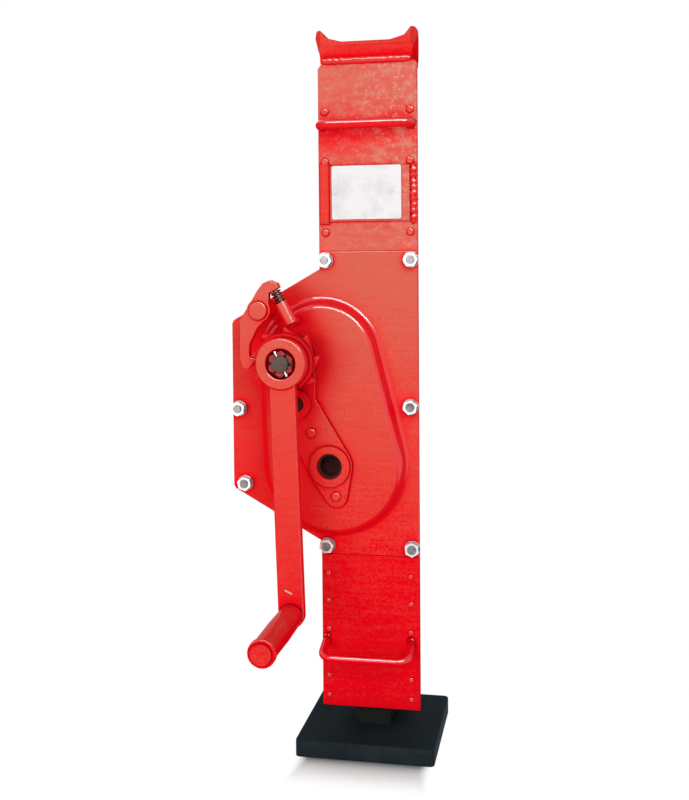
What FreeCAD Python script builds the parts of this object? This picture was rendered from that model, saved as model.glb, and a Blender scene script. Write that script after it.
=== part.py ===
import FreeCAD
import Part
import Sketcher

import math
import os
import re

# Rack and pinion jack: a box column that climbs a toothed bar when its crank is turned.
# The origin is under the middle of the foot, +Z is up and the front of the column faces -Y.

doc = FreeCAD.newDocument("RackJack")
sheet = doc.addObject("Spreadsheet::Sheet", "Sizes")

sizes = {
    # foot
    "base_side": 140,
    "base_thick": 17,
    "base_corner": 5,
    "base_edge": 1.6,
    # toothed bar
    "rack_width": 36,
    "rack_depth": 36,
    "rack_top": 680,
    "rack_module": 8,
    "lift_travel": 350,
    "tenon_width": 30,
    "tenon_depth": 24,
    # column
    "column_width": 101,
    "column_depth": 50,
    "column_foot": 36.5,
    "column_top": 696,
    "plate_thick": 4,
    "plate_edge": 0.8,
    "corner_cut": 4,
    "corner_drop": 5.5,
    "bar_thick": 12,
    "flange_wide": 13,
    "flange_thick": 4,
    "root_step": 5,
    "lower_seam": 195,
    "upper_seam": 506,
    # gear case beside the column
    "case_reach": 144,
    "case_low": 261,
    "case_high": 435,
    "case_root_low": 208,
    "case_root_high": 488,
    "case_corner": 7,
    "rim_thick": 12,
    "stud_boss": 9,
    # raised panel of the cover: three circles joined by straight sides
    "bulge_rise": 13,
    "bulge_run": 6.5,
    "bulge_round": 5,
    "bulge_low_x": -35.5,
    "bulge_low_z": 289.5,
    "bulge_low_radius": 74.5,
    "bulge_right_x": -47.5,
    "bulge_top_z": 398,
    "bulge_right_radius": 59.5,
    "bulge_left_x": -61,
    "bulge_left_radius": 52.5,
    # gear train
    "output_x": -38,
    "output_z": 288.3,
    "second_lean": 28.5,
    "first_lean": 6.5,
    "second_module": 4,
    "first_module": 2,
    "second_width": 11.5,
    "first_width": 16,
    "gear_play": 0.2,
    # shafts and bushes
    "crank_radius": 12,
    "crank_rear_radius": 6.5,
    "crank_hub_radius": 10,
    "crank_thread_radius": 8,
    "counter_radius": 11,
    "counter_journal": 8,
    "output_journal": 13,
    "output_seat": 14,
    "output_rear_radius": 11,
    "shaft_bore": 10.5,
    "shaft_bore_deep": 16,
    "running_gap": 0.05,
    "bush_wall": 4,
    "flange_step": 3,
    "bearing_thick": 3,
    "output_eye": 23,
    "counter_eye": 19.8,
    "crank_eye": 25,
    "ear_radius": 11.2,
    "collar_rise": 2.5,
    "output_collar": 20.6,
    "counter_collar": 15,
    # load brake on the crankshaft
    "boss_rise": 12,
    "boss_radius": 21,
    "brake_radius": 29,
    "brake_thick": 4.7,
    "disc_radius": 27,
    "disc_thick": 1.5,
    "wheel_radius": 35,
    "wheel_root": 29,
    "wheel_thick": 8,
    "wheel_seat": 16,
    "side_gap": 0.3,
    # crank
    "hub_flange_thick": 3,
    "hub_barrel": 18,
    "arm_gap": 0.4,
    "arm_width": 26,
    "arm_thick": 10.5,
    "arm_length": 249.5,
    "arm_swing": 1.75,
    "arm_eye": 25.5,
    "hub_front_radius": 25,
    "hub_front_thick": 3,
    "hub_recess_radius": 15,
    "hub_recess_depth": 8,
    "nut_flats": 23,
    "nut_high": 7,
    "slot_wide": 3.2,
    "split_radius": 1.3,
    # grip
    "grip_radius": 12,
    "grip_end_radius": 13.3,
    "grip_end_long": 6,
    "grip_length": 108,
    "grip_pin": 7,
    "grip_washer": 9.6,
    "grip_washer_thick": 2,
    "grip_pin_end": 5,
    # pawl
    "pawl_x": -104.1,
    "pawl_z": 447.2,
    "pawl_thick": 7.5,
    "pawl_boss": 12,
    "hook_rise": 9.5,
    "pivot_radius": 6,
    "spacer_radius": 8,
    "pivot_head": 9.3,
    "pivot_head_thick": 2.6,
    "guide_x": -70.5,
    "guide_z": 434.5,
    "guide_lean": 27.5,
    "guide_length": 23.2,
    "guide_radius": 6.2,
    "post_radius": 4.6,
    "post_set": 2,
    "spring_length": 13.9,
    "spring_radius": 4.6,
    "spring_wire": 0.9,
    # cover fasteners
    "stud_radius": 4,
    "stud_deep": 12,
    "nut_across": 13,
    "nut_thick": 6.5,
    "washer_radius": 8,
    "washer_thick": 1.6,
    # rivets
    "upper_rivet": 4,
    "lower_rivet": 2.8,
    "rivet_x": 43.5,
    "low_rivet_x": 41.8,
    # handles
    "upper_bar": 4.8,
    "upper_half": 46,
    "upper_shift": -1,
    "upper_out": 13,
    "upper_bend": 9,
    "upper_bar_z": 633,
    "lower_bar": 4,
    "lower_half": 44,
    "lower_shift": -2,
    "lower_out": 31,
    "lower_bend": 11,
    "lower_bar_z": 105.5,
    "lower_droop": 17.5,
    # claw and toe
    "claw_high": 33,
    "saddle_deep": 12,
    "claw_half": 52.5,
    "claw_shift": -1,
    "claw_bevel": 6.5,
    "claw_bevel_deep": 8,
    "claw_draft": 5.5,
    "claw_foot_half": 46.5,
    "saddle_half": 25,
    "horn_flat": 5,
    "horn_round": 2.5,
    "horn_knee": 4,
    "knee_round": 7,
    "saddle_round": 14,
    "claw_round": 1.8,
    "claw_lip": 3,
    "toe_half": 30,
    "toe_reach": 88,
    "toe_top": 70,
    "toe_round": 2,
    # guides
    "guide_collar_high": 24,
    "guide_gap": 0.3,
    "shoe_low": 230,
    "shoe_high": 345,
    # name plate
    "label_wide": 71,
    "label_high": 54,
    "label_z": 565.2,
    "label_thick": 1,
    "label_shift": -0.7,
    "pin_inset": 3.5,
    "holder_shift": 2.4,
    "holder_wide": 82,
    "holder_high": 56.2,
    "holder_thick": 2,
}

# tooth counts and the shape that all teeth share
rack_pinion_teeth = 6
big_teeth = 28
small_teeth = 7
first_big_teeth = 36
first_small_teeth = 8
ratchet_teeth = 9
pressure = 25

for row, (name, value) in enumerate(sizes.items(), 1):
    sheet.set(f"A{row}", name)
    sheet.set(f"B{row}", str(value))
    sheet.setAlias(f"B{row}", name)
doc.recompute()

# places that follow from the sizes, each worked out by its own formula
derived = {
    "face": "-column_depth / 2",
    "inner_face": "plate_thick - column_depth / 2",
    "back_face": "column_depth / 2",
    "inner_back": "column_depth / 2 - plate_thick",
    "half_column": "column_width / 2",
    "wall_out": "column_width / 2 - flange_wide",
    "inner_half": "wall_out - bar_thick",
    "case_slope": "(case_root_high - case_high) / (case_reach - column_width / 2)",
    "case_slope_low": "(case_low - case_root_low) / (case_reach - column_width / 2)",
    "rim_drop": "rim_thick * sqrt(1 + case_slope ^ 2)",
    "rim_drop_low": "rim_thick * sqrt(1 + case_slope_low ^ 2)",
    "crown": "face - bulge_rise",
    "crown_inside": "crown + plate_thick",
    "bearing_front": "crown - bearing_thick",
    "second_front": "crown_inside + 2.5",
    "second_back": "second_front + second_width",
    "second_distance": "second_module * 17.88075",
    "first_distance": "first_module * 22.432",
    "counter_x": "output_x - second_distance * sin(second_lean)",
    "counter_z": "output_z + second_distance * cos(second_lean)",
    "crank_x": "counter_x - first_distance * sin(first_lean)",
    "crank_z": "counter_z + first_distance * cos(first_lean)",
    "pinion_reach": "rack_module * 3.3",
    "rack_line": "output_x + pinion_reach",
    "rack_tip": "rack_line - 0.8 * rack_module",
    "rack_root": "rack_line + 1.05 * rack_module",
    "gap_half": "rack_module * pi / 4 + gear_play / 4",
    "rack_pitch": "rack_module * pi",
    "boss_front": "crown - boss_rise",
    "bush_front": "boss_front - 2",
    "brake_back": "bush_front - side_gap",
    "brake_front": "brake_back - brake_thick",
    "wheel_back": "brake_front - disc_thick - side_gap",
    "wheel_front": "wheel_back - wheel_thick",
    "press_back": "wheel_front - side_gap - disc_thick",
    "press_front": "press_back - hub_flange_thick",
    "arm_back": "press_front - arm_gap",
    "arm_front": "arm_back - arm_thick",
    "hub_front": "arm_front - hub_front_thick",
    "recess_floor": "hub_front + hub_recess_depth",
    "grip_x": "crank_x + arm_length * sin(arm_swing)",
    "grip_z": "crank_z - arm_length * cos(arm_swing)",
    "grip_back": "arm_front - 1",
    "grip_front": "grip_back - grip_length",
    "grip_seat": "grip_front - side_gap",
    "pawl_back": "wheel_back - 0.2",
    "pawl_front": "pawl_back - pawl_thick",
    "pawl_middle": "pawl_back - pawl_thick / 2",
    "seat_x": "guide_x - (guide_length + spring_length) * sin(guide_lean)",
    "seat_z": "guide_z + (guide_length + spring_length) * cos(guide_lean)",
    "claw_top": "column_top + claw_high",
    "claw_saddle": "claw_top - saddle_deep",
    "bush_back": "inner_back - flange_step",
    "holder_front": "face - holder_thick",
    "holder_top": "label_z + label_high / 2",
    "holder_low": "holder_top - holder_high",
    "label_front": "holder_front - label_thick",
}
places = doc.addObject("App::VarSet", "Derived")


def bound(text):
    def full(match):
        word = match.group()
        if word in sizes:
            return "Sizes." + word
        if word in derived:
            return "Derived." + word
        return word

    return re.sub(r"[a-z][a-z_]*", full, str(text))


for name, text in derived.items():
    places.addProperty("App::PropertyFloat", name, "Places", "")
    places.setExpression(name, bound(text))
doc.recompute()


def num(text):
    value = sheet.evalExpression(bound(text))
    return float(getattr(value, "Value", value))


nodes = {}


def new_body(name):
    body = doc.addObject("PartDesign::Body", name)
    body.Label = name
    nodes[name] = body
    return body


def sketch_on(body, side, depth="0", across="0", up="0", turn="0"):
    sketch = body.newObject("Sketcher::SketchObject", body.Name + "_sketch")
    plane = next(p for p in body.Origin.OriginFeatures if p.Role == side)
    sketch.AttachmentSupport = [(plane, "")]
    sketch.MapMode = "FlatFace"
    for axis, text in (("x", across), ("y", up), ("z", depth)):
        sketch.setExpression("AttachmentOffset.Base." + axis, bound(text))
    if turn != "0":
        sketch.setExpression("AttachmentOffset.Rotation.Angle", bound(turn))
    return sketch


# a sketch seen from the front, standing at the given distance along Y
def front_sketch(body, along, across="0", up="0", turn="0"):
    return sketch_on(body, "XZ_Plane", f"-({along})", across, up, turn)


def tie(sketch, constraint, text):
    spot = sketch.addConstraint(constraint)
    sketch.setExpression(f"Constraints[{spot}]", bound(text))


def hold(sketch, shape, point, across, up):
    tie(sketch, Sketcher.Constraint("DistanceX", -1, 1, shape, point, num(across)), across)
    tie(sketch, Sketcher.Constraint("DistanceY", -1, 1, shape, point, num(up)), up)


# a closed outline of straight sides through the given points
def outline(sketch, points):
    spots = [FreeCAD.Vector(num(across), num(up), 0) for across, up in points]
    first = sketch.GeometryCount
    count = len(points)
    for here, there in zip(spots, spots[1:] + spots[:1]):
        sketch.addGeometry(Part.LineSegment(here, there))
    for i in range(count):
        before = first + (i - 1) % count
        sketch.addConstraint(Sketcher.Constraint("Coincident", before, 2, first + i, 1))
    for i, (across, up) in enumerate(points):
        hold(sketch, first + i, 1, across, up)


def box_outline(sketch, left, right, low, high):
    outline(sketch, [(left, low), (right, low), (right, high), (left, high)])


def circle(sketch, across, up, radius):
    middle = FreeCAD.Vector(num(across), num(up), 0)
    shape = sketch.addGeometry(Part.Circle(middle, FreeCAD.Vector(0, 0, 1), num(radius)))
    hold(sketch, shape, 3, across, up)
    tie(sketch, Sketcher.Constraint("Radius", shape, num(radius)), radius)


# circles, in order around the outside, joined by the straight lines that touch both
def hull(sketch, circles):
    rings = [tuple(num(text) for text in ring) for ring in circles]
    count = len(rings)
    lean = []
    for (x, y, radius), (far_x, far_y, far_radius) in zip(rings, rings[1:] + rings[:1]):
        gap = math.hypot(far_x - x, far_y - y)
        way = math.atan2(far_y - y, far_x - x)
        lean.append(way - math.acos((radius - far_radius) / gap))
    first = sketch.GeometryCount
    for i, (x, y, radius) in enumerate(rings):
        start = lean[i - 1]
        end = lean[i]
        while end < start:
            end += 2 * math.pi
        ring = Part.Circle(FreeCAD.Vector(x, y, 0), FreeCAD.Vector(0, 0, 1), radius)
        sketch.addGeometry(Part.ArcOfCircle(ring, start, end))
        far_x, far_y, far_radius = rings[(i + 1) % count]
        away = FreeCAD.Vector(math.cos(end), math.sin(end), 0)
        here = FreeCAD.Vector(x, y, 0) + away * radius
        there = FreeCAD.Vector(far_x, far_y, 0) + away * far_radius
        sketch.addGeometry(Part.LineSegment(here, there))
    for i in range(count):
        arc = first + 2 * i
        line = arc + 1
        after = first + 2 * ((i + 1) % count)
        sketch.addConstraint(Sketcher.Constraint("Tangent", arc, 2, line, 1))
        sketch.addConstraint(Sketcher.Constraint("Tangent", line, 2, after, 1))
    for i, (across, up, radius) in enumerate(circles):
        arc = first + 2 * i
        hold(sketch, arc, 3, across, up)
        tie(sketch, Sketcher.Constraint("Radius", arc, num(radius)), radius)


def pad(body, sketch, length):
    piece = body.newObject("PartDesign::Pad", body.Name + "_pad")
    piece.Profile = sketch
    piece.setExpression("Length", bound(length))
    doc.recompute()
    return piece


# cuts from the sketch towards the back, or towards the front when turned round
def pocket(body, sketch, length, forward=False):
    before = body.Shape.Volume
    piece = body.newObject("PartDesign::Pocket", body.Name + "_pocket")
    piece.Profile = sketch
    piece.Reversed = forward
    piece.setExpression("Length", bound(length))
    doc.recompute()
    if body.Shape.Volume > before - 1e-6:
        raise RuntimeError(body.Label + ": a pocket cut nothing")
    return piece


# a closed outline seen from the front, from one distance along Y to another
def slab(body, points, back, front):
    sketch = front_sketch(body, back)
    outline(sketch, points)
    return pad(body, sketch, f"({back}) - ({front})")


def drill(body, holes, front, deep):
    sketch = front_sketch(body, front)
    for across, up, radius in holes:
        circle(sketch, across, up, radius)
    return pocket(body, sketch, deep)


# a turned piece about an axis along Y, from the outline of half its section
def turned(body, across, up, points):
    sketch = sketch_on(body, "YZ_Plane", across, "0", up)
    outline(sketch, points)
    piece = body.newObject("PartDesign::Revolution", body.Name + "_turned")
    piece.Profile = sketch
    piece.ReferenceAxis = (sketch, ["H_Axis"])
    doc.recompute()
    return piece


def ring(body, across, up, bore, radius, back, front):
    return turned(body, across, up, [(back, bore), (front, bore), (front, radius), (back, radius)])


def rounded(body, radius, pick):
    doc.recompute()
    tip = body.Tip
    edges = [f"Edge{i}" for i, edge in enumerate(tip.Shape.Edges, 1) if pick(edge)]
    piece = body.newObject("PartDesign::Fillet", body.Name + "_round")
    piece.Base = (tip, edges)
    piece.setExpression("Radius", bound(radius))
    doc.recompute()
    return piece


def runs_along(edge, axis):
    box = edge.BoundBox
    spans = {"X": box.XLength, "Y": box.YLength, "Z": box.ZLength}
    return all(span < 1e-4 for key, span in spans.items() if key != axis)


def at_depth(edge, along):
    box = edge.BoundBox
    return box.YLength < 1e-4 and abs(box.YMin - along) < 1e-4


# a toothed blank of involute teeth, one tooth pointing along the given angle
def teeth(name, across, up, back, front, module, count, shift, angle):
    size = num(module)
    tilt = math.radians(pressure)
    pitch = size * count / 2
    base = pitch * math.cos(tilt)
    tip = pitch + size * (0.8 + shift)
    root = pitch - size * (1.05 - shift)
    thick = size * (math.pi / 2 + 2 * shift * math.tan(tilt)) - num("gear_play") / 2
    start = max(base, root)

    def half(radius):
        open_angle = math.acos(min(1, base / radius))
        grown = math.tan(open_angle) - open_angle
        return thick / (2 * pitch) + math.tan(tilt) - tilt - grown

    def spot(radius, turn):
        return FreeCAD.Vector(radius * math.cos(turn), radius * math.sin(turn), 0)

    steps = [start + (tip - start) * (i / 6) ** 1.5 for i in range(7)]
    edges = []
    for i in range(count):
        middle = 2 * math.pi * i / count
        after = middle + 2 * math.pi / count
        rising = [spot(radius, middle - half(radius)) for radius in steps]
        falling = [spot(radius, middle + half(radius)) for radius in reversed(steps)]
        foot = half(start)
        if root < start - 1e-6:
            edges.append(Part.makeLine(spot(root, middle - foot), rising[0]))
        for flank, top in ((rising, False), (falling, True)):
            curve = Part.BSplineCurve()
            curve.interpolate(flank)
            if top:
                edges.append(Part.Arc(rising[-1], spot(tip, middle), falling[0]).toShape())
            edges.append(curve.toShape())
        if root < start - 1e-6:
            edges.append(Part.makeLine(falling[-1], spot(root, middle + foot)))
        low = spot(root, middle + foot)
        bottom = spot(root, middle + math.pi / count)
        edges.append(Part.Arc(low, bottom, spot(root, after - foot)).toShape())
    blank = Part.Face(Part.Wire(edges)).extrude(FreeCAD.Vector(0, 0, num(f"({back}) - ({front})")))
    piece = doc.addObject("Part::Feature", name)
    piece.Shape = blank
    lay = FreeCAD.Rotation(FreeCAD.Vector(1, 0, 0), 90)
    spin = FreeCAD.Rotation(FreeCAD.Vector(0, 0, 1), angle)
    piece.Placement = FreeCAD.Placement(FreeCAD.Vector(num(across), num(back), num(up)), lay * spin)
    return piece


# the profile shift that lets a pinion run at a stretched distance from its wheel
def pinion_shift(module, small, big, distance):
    tilt = math.radians(pressure)
    plain = num(module) * (small + big) / 2
    working = math.acos(plain * math.cos(tilt) / num(distance))
    grown = math.tan(working) - working - math.tan(tilt) + tilt
    return grown * (small + big) / (2 * math.tan(tilt))


def cylinder(name, across, up, back, front, radius):
    piece = doc.addObject("Part::Cylinder", name)
    piece.Placement.Rotation = FreeCAD.Rotation(FreeCAD.Vector(1, 0, 0), 90)
    piece.setExpression("Placement.Base.x", bound(across))
    piece.setExpression("Placement.Base.y", bound(back))
    piece.setExpression("Placement.Base.z", bound(up))
    piece.setExpression("Radius", bound(radius))
    piece.setExpression("Height", bound(f"({back}) - ({front})"))
    return piece


def cut_from(name, base, tool):
    piece = doc.addObject("Part::Cut", name)
    piece.Label = name
    piece.Base = base
    piece.Tool = tool
    nodes[name] = piece
    return piece


def joined(name, shapes):
    piece = doc.addObject("Part::MultiFuse", name)
    piece.Label = name
    piece.Shapes = shapes
    nodes[name] = piece
    return piece


def group(name, shapes):
    piece = doc.addObject("Part::Compound", name)
    piece.Label = name
    piece.Links = shapes
    nodes[name] = piece
    return piece


# where the studs and rivets sit, seen from the front
right_studs = [("44", "upper_seam - 9"), ("43", "348.5"), ("44", "lower_seam + 9")]
left_upper_stud = [("-44", "upper_seam - 9")]
left_lower_stud = [("-44", "lower_seam + 9")]
corner_stud = ("13 - case_reach", "case_low + 5")
rim_studs = [("7 - case_reach", "(case_low + case_high) / 2 - 4"), corner_stud]
pawl_spot = ("pawl_x", "pawl_z")
all_studs = right_studs + left_upper_stud + left_lower_stud + rim_studs
upper_rows = ["column_top - 49", "column_top - 99.5", "upper_seam + 19"]
lower_rows = ["lower_seam - 20.5", "lower_seam - 49", "lower_seam - 78.5"]
lower_rows += ["column_foot + 31.5", "column_foot + 11"]
upper_right = [("rivet_x", row) for row in upper_rows]
upper_left = [("-rivet_x", row) for row in upper_rows]
lower_right = [("low_rivet_x", row) for row in lower_rows]
lower_left = [("-rivet_x", row) for row in lower_rows]
ear_spot = ("output_x + 6.4", "output_z - 30.6")
bearing_rivets = [("output_x - 18.8", "output_z + 33.4"), ear_spot]


def holes(spots, radius):
    return [(across, up, radius) for across, up in spots]


def bores(spots, radii):
    return [(across, up, radius) for (across, up), radius in zip(spots, radii)]


# the two upright edges at the far end of the gear case
def case_end(edge):
    return runs_along(edge, "Y") and edge.BoundBox.XMin < -num("case_reach") + 0.5


# foot
body = new_body("base_plate")
sketch = sketch_on(body, "XY_Plane")
box_outline(sketch, "-base_side / 2", "base_side / 2", "-base_side / 2", "base_side / 2")
pad(body, sketch, "base_thick")
rounded(body, "base_corner", lambda edge: runs_along(edge, "Z"))
rounded(body, "base_edge", lambda edge: abs(edge.BoundBox.ZMin - num("base_thick")) < 1e-4)
sketch = sketch_on(body, "XY_Plane", "base_thick")
box_outline(sketch, "-tenon_width / 2", "tenon_width / 2", "-tenon_depth / 2", "tenon_depth / 2")
pocket(body, sketch, "base_thick")

# toothed bar, with a tenon that stands in the foot
body = new_body("rack")
sketch = front_sketch(body, "rack_depth / 2")
box_outline(sketch, "rack_tip", "rack_tip + rack_width", "base_thick", "rack_top")
pad(body, sketch, "rack_depth")
sketch = sketch_on(body, "XY_Plane")
box_outline(sketch, "-tenon_width / 2", "tenon_width / 2", "-tenon_depth / 2", "tenon_depth / 2")
pad(body, sketch, "base_thick")
sketch = front_sketch(body, "-rack_depth / 2", "0", "output_z - rack_pitch")
wide = "(gap_half + (0.8 * rack_module + 2) * tan(25))"
narrow = "(gap_half - 1.05 * rack_module * tan(25))"
outline(
    sketch,
    [
        ("rack_tip - 2", f"-{wide}"),
        ("rack_root", f"-{narrow}"),
        ("rack_root", narrow),
        ("rack_tip - 2", wide),
    ],
)
cut = pocket(body, sketch, "rack_depth")
rack_gaps = math.ceil(num("lift_travel / rack_pitch")) + 3
row = body.newObject("PartDesign::LinearPattern", "rack_teeth")
row.Originals = [cut]
row.Direction = (sketch, ["V_Axis"])
row.setExpression("Length", bound(f"rack_pitch * {rack_gaps - 1}"))
row.Occurrences = rack_gaps
body.Tip = row
doc.recompute()

# column: back plate, flanged side bars, rim of the gear case and front plates
case_side = [
    ("-wall_out", "case_root_high"),
    ("-half_column", "case_root_high"),
    ("-case_reach", "case_high"),
    ("-case_reach", "case_low"),
    ("-half_column", "case_root_low"),
    ("-half_column", "case_root_low + root_step"),
    ("-wall_out", "case_root_low + root_step"),
]
column_side = [
    ("-wall_out", "column_foot"),
    ("wall_out", "column_foot"),
    ("wall_out", "column_top"),
    ("-wall_out", "column_top"),
]
shafts = [("crank_x", "crank_z"), ("counter_x", "counter_z"), ("output_x", "output_z")]
rear_bores = ["crank_rear_radius + 3.5", "counter_journal + 3.5", "output_rear_radius + 3.5"]
body = new_body("back_plate")
slab(body, case_side + column_side, "back_face", "inner_back")
rounded(body, "case_corner", case_end)
back_place = num("back_face")
rounded(body, "plate_edge", lambda edge: at_depth(edge, back_place))
drill(body, bores(shafts, rear_bores), "inner_back", "plate_thick")


# a wall set in from the edge of the front plates, with a flange that they are fastened to
def side_bar(name, way, wall, flange, studs, rivets):
    body = new_body(name)
    parts = [
        ("inner_half", "wall_out", wall, "inner_back"),
        ("wall_out", "half_column", flange, "inner_face + flange_thick"),
    ]
    for inside, outside, (low, high), back in parts:
        near = f"{way} * {inside}"
        far = f"{way} * {outside}"
        slab(body, [(near, low), (far, low), (far, high), (near, high)], back, "inner_face")
    drill(body, holes(studs, "stud_radius"), "inner_face", "stud_deep")
    upper = [spot for spot in rivets if spot in upper_left + upper_right]
    lower = [spot for spot in rivets if spot in lower_left + lower_right]
    if upper:
        drill(body, holes(upper, "upper_rivet * 0.6"), "inner_face", "8")
    if lower:
        drill(body, holes(lower, "lower_rivet * 0.6"), "inner_face", "8")


side_bar(
    "right_side_bar",
    "1",
    ("column_foot", "column_top"),
    ("column_foot", "column_top - corner_drop"),
    right_studs,
    upper_right + lower_right,
)
side_bar(
    "left_side_bar_upper",
    "-1",
    ("case_root_high - rim_drop", "column_top"),
    ("case_root_high", "column_top - corner_drop"),
    left_upper_stud,
    upper_left,
)
side_bar(
    "left_side_bar_lower",
    "-1",
    ("column_foot", "case_root_low + rim_drop_low"),
    ("column_foot", "case_root_low + root_step"),
    left_lower_stud,
    lower_left,
)

body = new_body("case_rim")
rim_points = case_side + [
    ("-wall_out", "case_root_low + rim_drop_low"),
    ("-half_column", "case_root_low + rim_drop_low"),
    (
        "rim_thick - case_reach",
        "case_root_low + rim_drop_low + (case_reach - rim_thick - half_column) * case_slope_low",
    ),
    (
        "rim_thick - case_reach",
        "case_root_high - rim_drop - (case_reach - rim_thick - half_column) * case_slope",
    ),
    ("-half_column", "case_root_high - rim_drop"),
    ("-wall_out", "case_root_high - rim_drop"),
]
slab(body, rim_points, "inner_back", "inner_face")
for across, up in (corner_stud, pawl_spot):
    sketch = front_sketch(body, "inner_back")
    circle(sketch, across, up, "stud_boss")
    pad(body, sketch, "inner_back - inner_face")
rounded(body, "case_corner", case_end)
drill(body, holes(rim_studs, "stud_radius"), "inner_face", "stud_deep")
drill(body, [pawl_spot + ("pivot_radius - 1",)], "inner_face", "stud_deep")

body = new_body("upper_front_plate")
upper_plate = [
    ("-half_column", "upper_seam"),
    ("half_column", "upper_seam"),
    ("half_column", "column_top - corner_drop / 2"),
    ("half_column - corner_cut / 2", "column_top"),
    ("corner_cut - half_column", "column_top"),
    ("-half_column", "column_top - corner_drop"),
]
slab(body, upper_plate, "inner_face", "face")
face_place = num("face")
rounded(body, "plate_edge", lambda edge: at_depth(edge, face_place))
drill(body, holes(upper_left + upper_right, "upper_rivet * 0.6"), "face", "plate_thick")

body = new_body("lower_front_plate")
lower_plate = [
    ("-half_column", "column_foot"),
    ("half_column", "column_foot"),
    ("half_column", "lower_seam"),
    ("-half_column", "lower_seam"),
]
slab(body, lower_plate, "inner_face", "face")
rounded(body, "plate_edge", lambda edge: at_depth(edge, face_place))
drill(body, holes(lower_left + lower_right, "lower_rivet * 0.6"), "face", "plate_thick")


# pressed cover: a flat plate with a raised panel, open behind
def bulge_rings(less):
    return [
        ("bulge_low_x", "bulge_low_z", f"bulge_low_radius - {less}"),
        ("bulge_right_x", "bulge_top_z", f"bulge_right_radius - {less}"),
        ("bulge_left_x", "bulge_top_z", f"bulge_left_radius - {less}"),
    ]


body = new_body("gear_cover")
cover_points = [
    ("half_column", "lower_seam"),
    ("half_column", "upper_seam"),
    ("-half_column", "upper_seam"),
    ("-half_column", "case_root_high"),
    ("-case_reach", "case_high"),
    ("-case_reach", "case_low"),
    ("-half_column", "case_root_low"),
    ("-half_column", "lower_seam"),
]
slab(body, cover_points, "inner_face", "face")
rounded(body, "case_corner", case_end)
rounded(body, "plate_edge", lambda edge: at_depth(edge, face_place))
foot = front_sketch(body, "face")
hull(foot, bulge_rings("0"))
crest = front_sketch(body, "crown")
hull(crest, bulge_rings("bulge_run"))
loft = body.newObject("PartDesign::AdditiveLoft", "cover_bulge")
loft.Profile = foot
loft.Sections = [crest]
loft.Ruled = True
doc.recompute()
crown_place = num("crown")
rounded(body, "bulge_round", lambda edge: at_depth(edge, crown_place))


def around_foot(edge):
    box = edge.BoundBox
    across = box.XMin > num("12 - case_reach") and box.XMax < num("half_column - 4")
    upright = box.ZMin > num("lower_seam + 15") and box.ZMax < num("upper_seam - 30")
    return at_depth(edge, face_place) and across and upright


rounded(body, "bulge_round", around_foot)
slant = "(bulge_run / bulge_rise)"
skin = f"(plate_thick * sqrt(1 + {slant} ^ 2))"
foot = front_sketch(body, "inner_face")
hull(foot, bulge_rings(f"({skin} - plate_thick * {slant})"))
crest = front_sketch(body, "crown_inside")
hull(crest, bulge_rings(f"(bulge_run - plate_thick * {slant} + {skin})"))
loft = body.newObject("PartDesign::SubtractiveLoft", "cover_hollow")
loft.Profile = foot
loft.Sections = [crest]
loft.Ruled = True
doc.recompute()
sketch = front_sketch(body, "crown")
circle(sketch, "crank_x", "crank_z", "boss_radius")
pad(body, sketch, "boss_rise")
front_bores = ["crank_radius + bush_wall", "counter_journal + bush_wall", "output_journal + bush_wall"]
drill(body, bores(shafts, front_bores), "boss_front - 1", "boss_rise + plate_thick + 2")
drill(body, holes(all_studs, "stud_radius"), "face", "plate_thick")
drill(body, [pawl_spot + ("pivot_radius - 1",)], "face", "plate_thick")
drill(body, holes(bearing_rivets, "3"), "crown", "plate_thick")

# bearing plate: an eye around each shaft and an ear for the lower rivet
body = new_body("bearing_plate")
sketch = front_sketch(body, "crown")
hull(
    sketch,
    [
        ear_spot + ("ear_radius",),
        ("output_x", "output_z", "output_eye"),
        ("counter_x", "counter_z", "counter_eye"),
        ("output_x", "output_z", "output_eye + 0.01"),
    ],
)
pad(body, sketch, "bearing_thick")
sketch = front_sketch(body, "crown")
hull(sketch, [("counter_x", "counter_z", "counter_eye"), ("crank_x", "crank_z", "crank_eye")])
pad(body, sketch, "bearing_thick")
plate_front = num("bearing_front")
rounded(body, "plate_edge", lambda edge: at_depth(edge, plate_front))
plate_bores = ["boss_radius"] + front_bores[1:]
drill(body, bores(shafts, plate_bores), "bearing_front", "bearing_thick")
drill(body, holes(bearing_rivets, "3"), "bearing_front", "bearing_thick")


# a row of round-headed rivets, their shanks behind the heads
def rivets(name, spots, shank, head, high, front, deep):
    body = new_body(name)
    body.AllowCompound = True
    sketch = front_sketch(body, f"{front} + {deep}")
    for across, up in spots:
        circle(sketch, across, up, shank)
    pad(body, sketch, deep)
    sketch = front_sketch(body, front)
    for across, up in spots:
        circle(sketch, across, up, head)
    pad(body, sketch, high)
    top = num(f"{front} - {high}")
    rounded(body, f"{high} * 0.8", lambda edge: at_depth(edge, top))


rivets(
    "bearing_plate_rivets",
    bearing_rivets,
    "3",
    "5",
    "2.2",
    "bearing_front",
    "bearing_thick + plate_thick",
)
rivets(
    "upper_rivets",
    upper_left + upper_right,
    "upper_rivet * 0.6",
    "upper_rivet",
    "upper_rivet * 0.55",
    "face",
    "plate_thick + 8",
)
rivets(
    "lower_rivets",
    lower_left + lower_right,
    "lower_rivet * 0.6",
    "lower_rivet",
    "lower_rivet * 0.55",
    "face",
    "plate_thick + 8",
)


# bushes, each with a flange against the front of its plate
def bush(name, spot, bore, wall, back, flange_back, front, flange):
    inner = f"{bore} + running_gap"
    outer = f"{bore} + {wall}"
    points = [
        (back, inner),
        (front, inner),
        (front, flange),
        (flange_back, flange),
        (flange_back, outer),
        (back, outer),
    ]
    turned(new_body(name), spot[0], spot[1], points)


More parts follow.
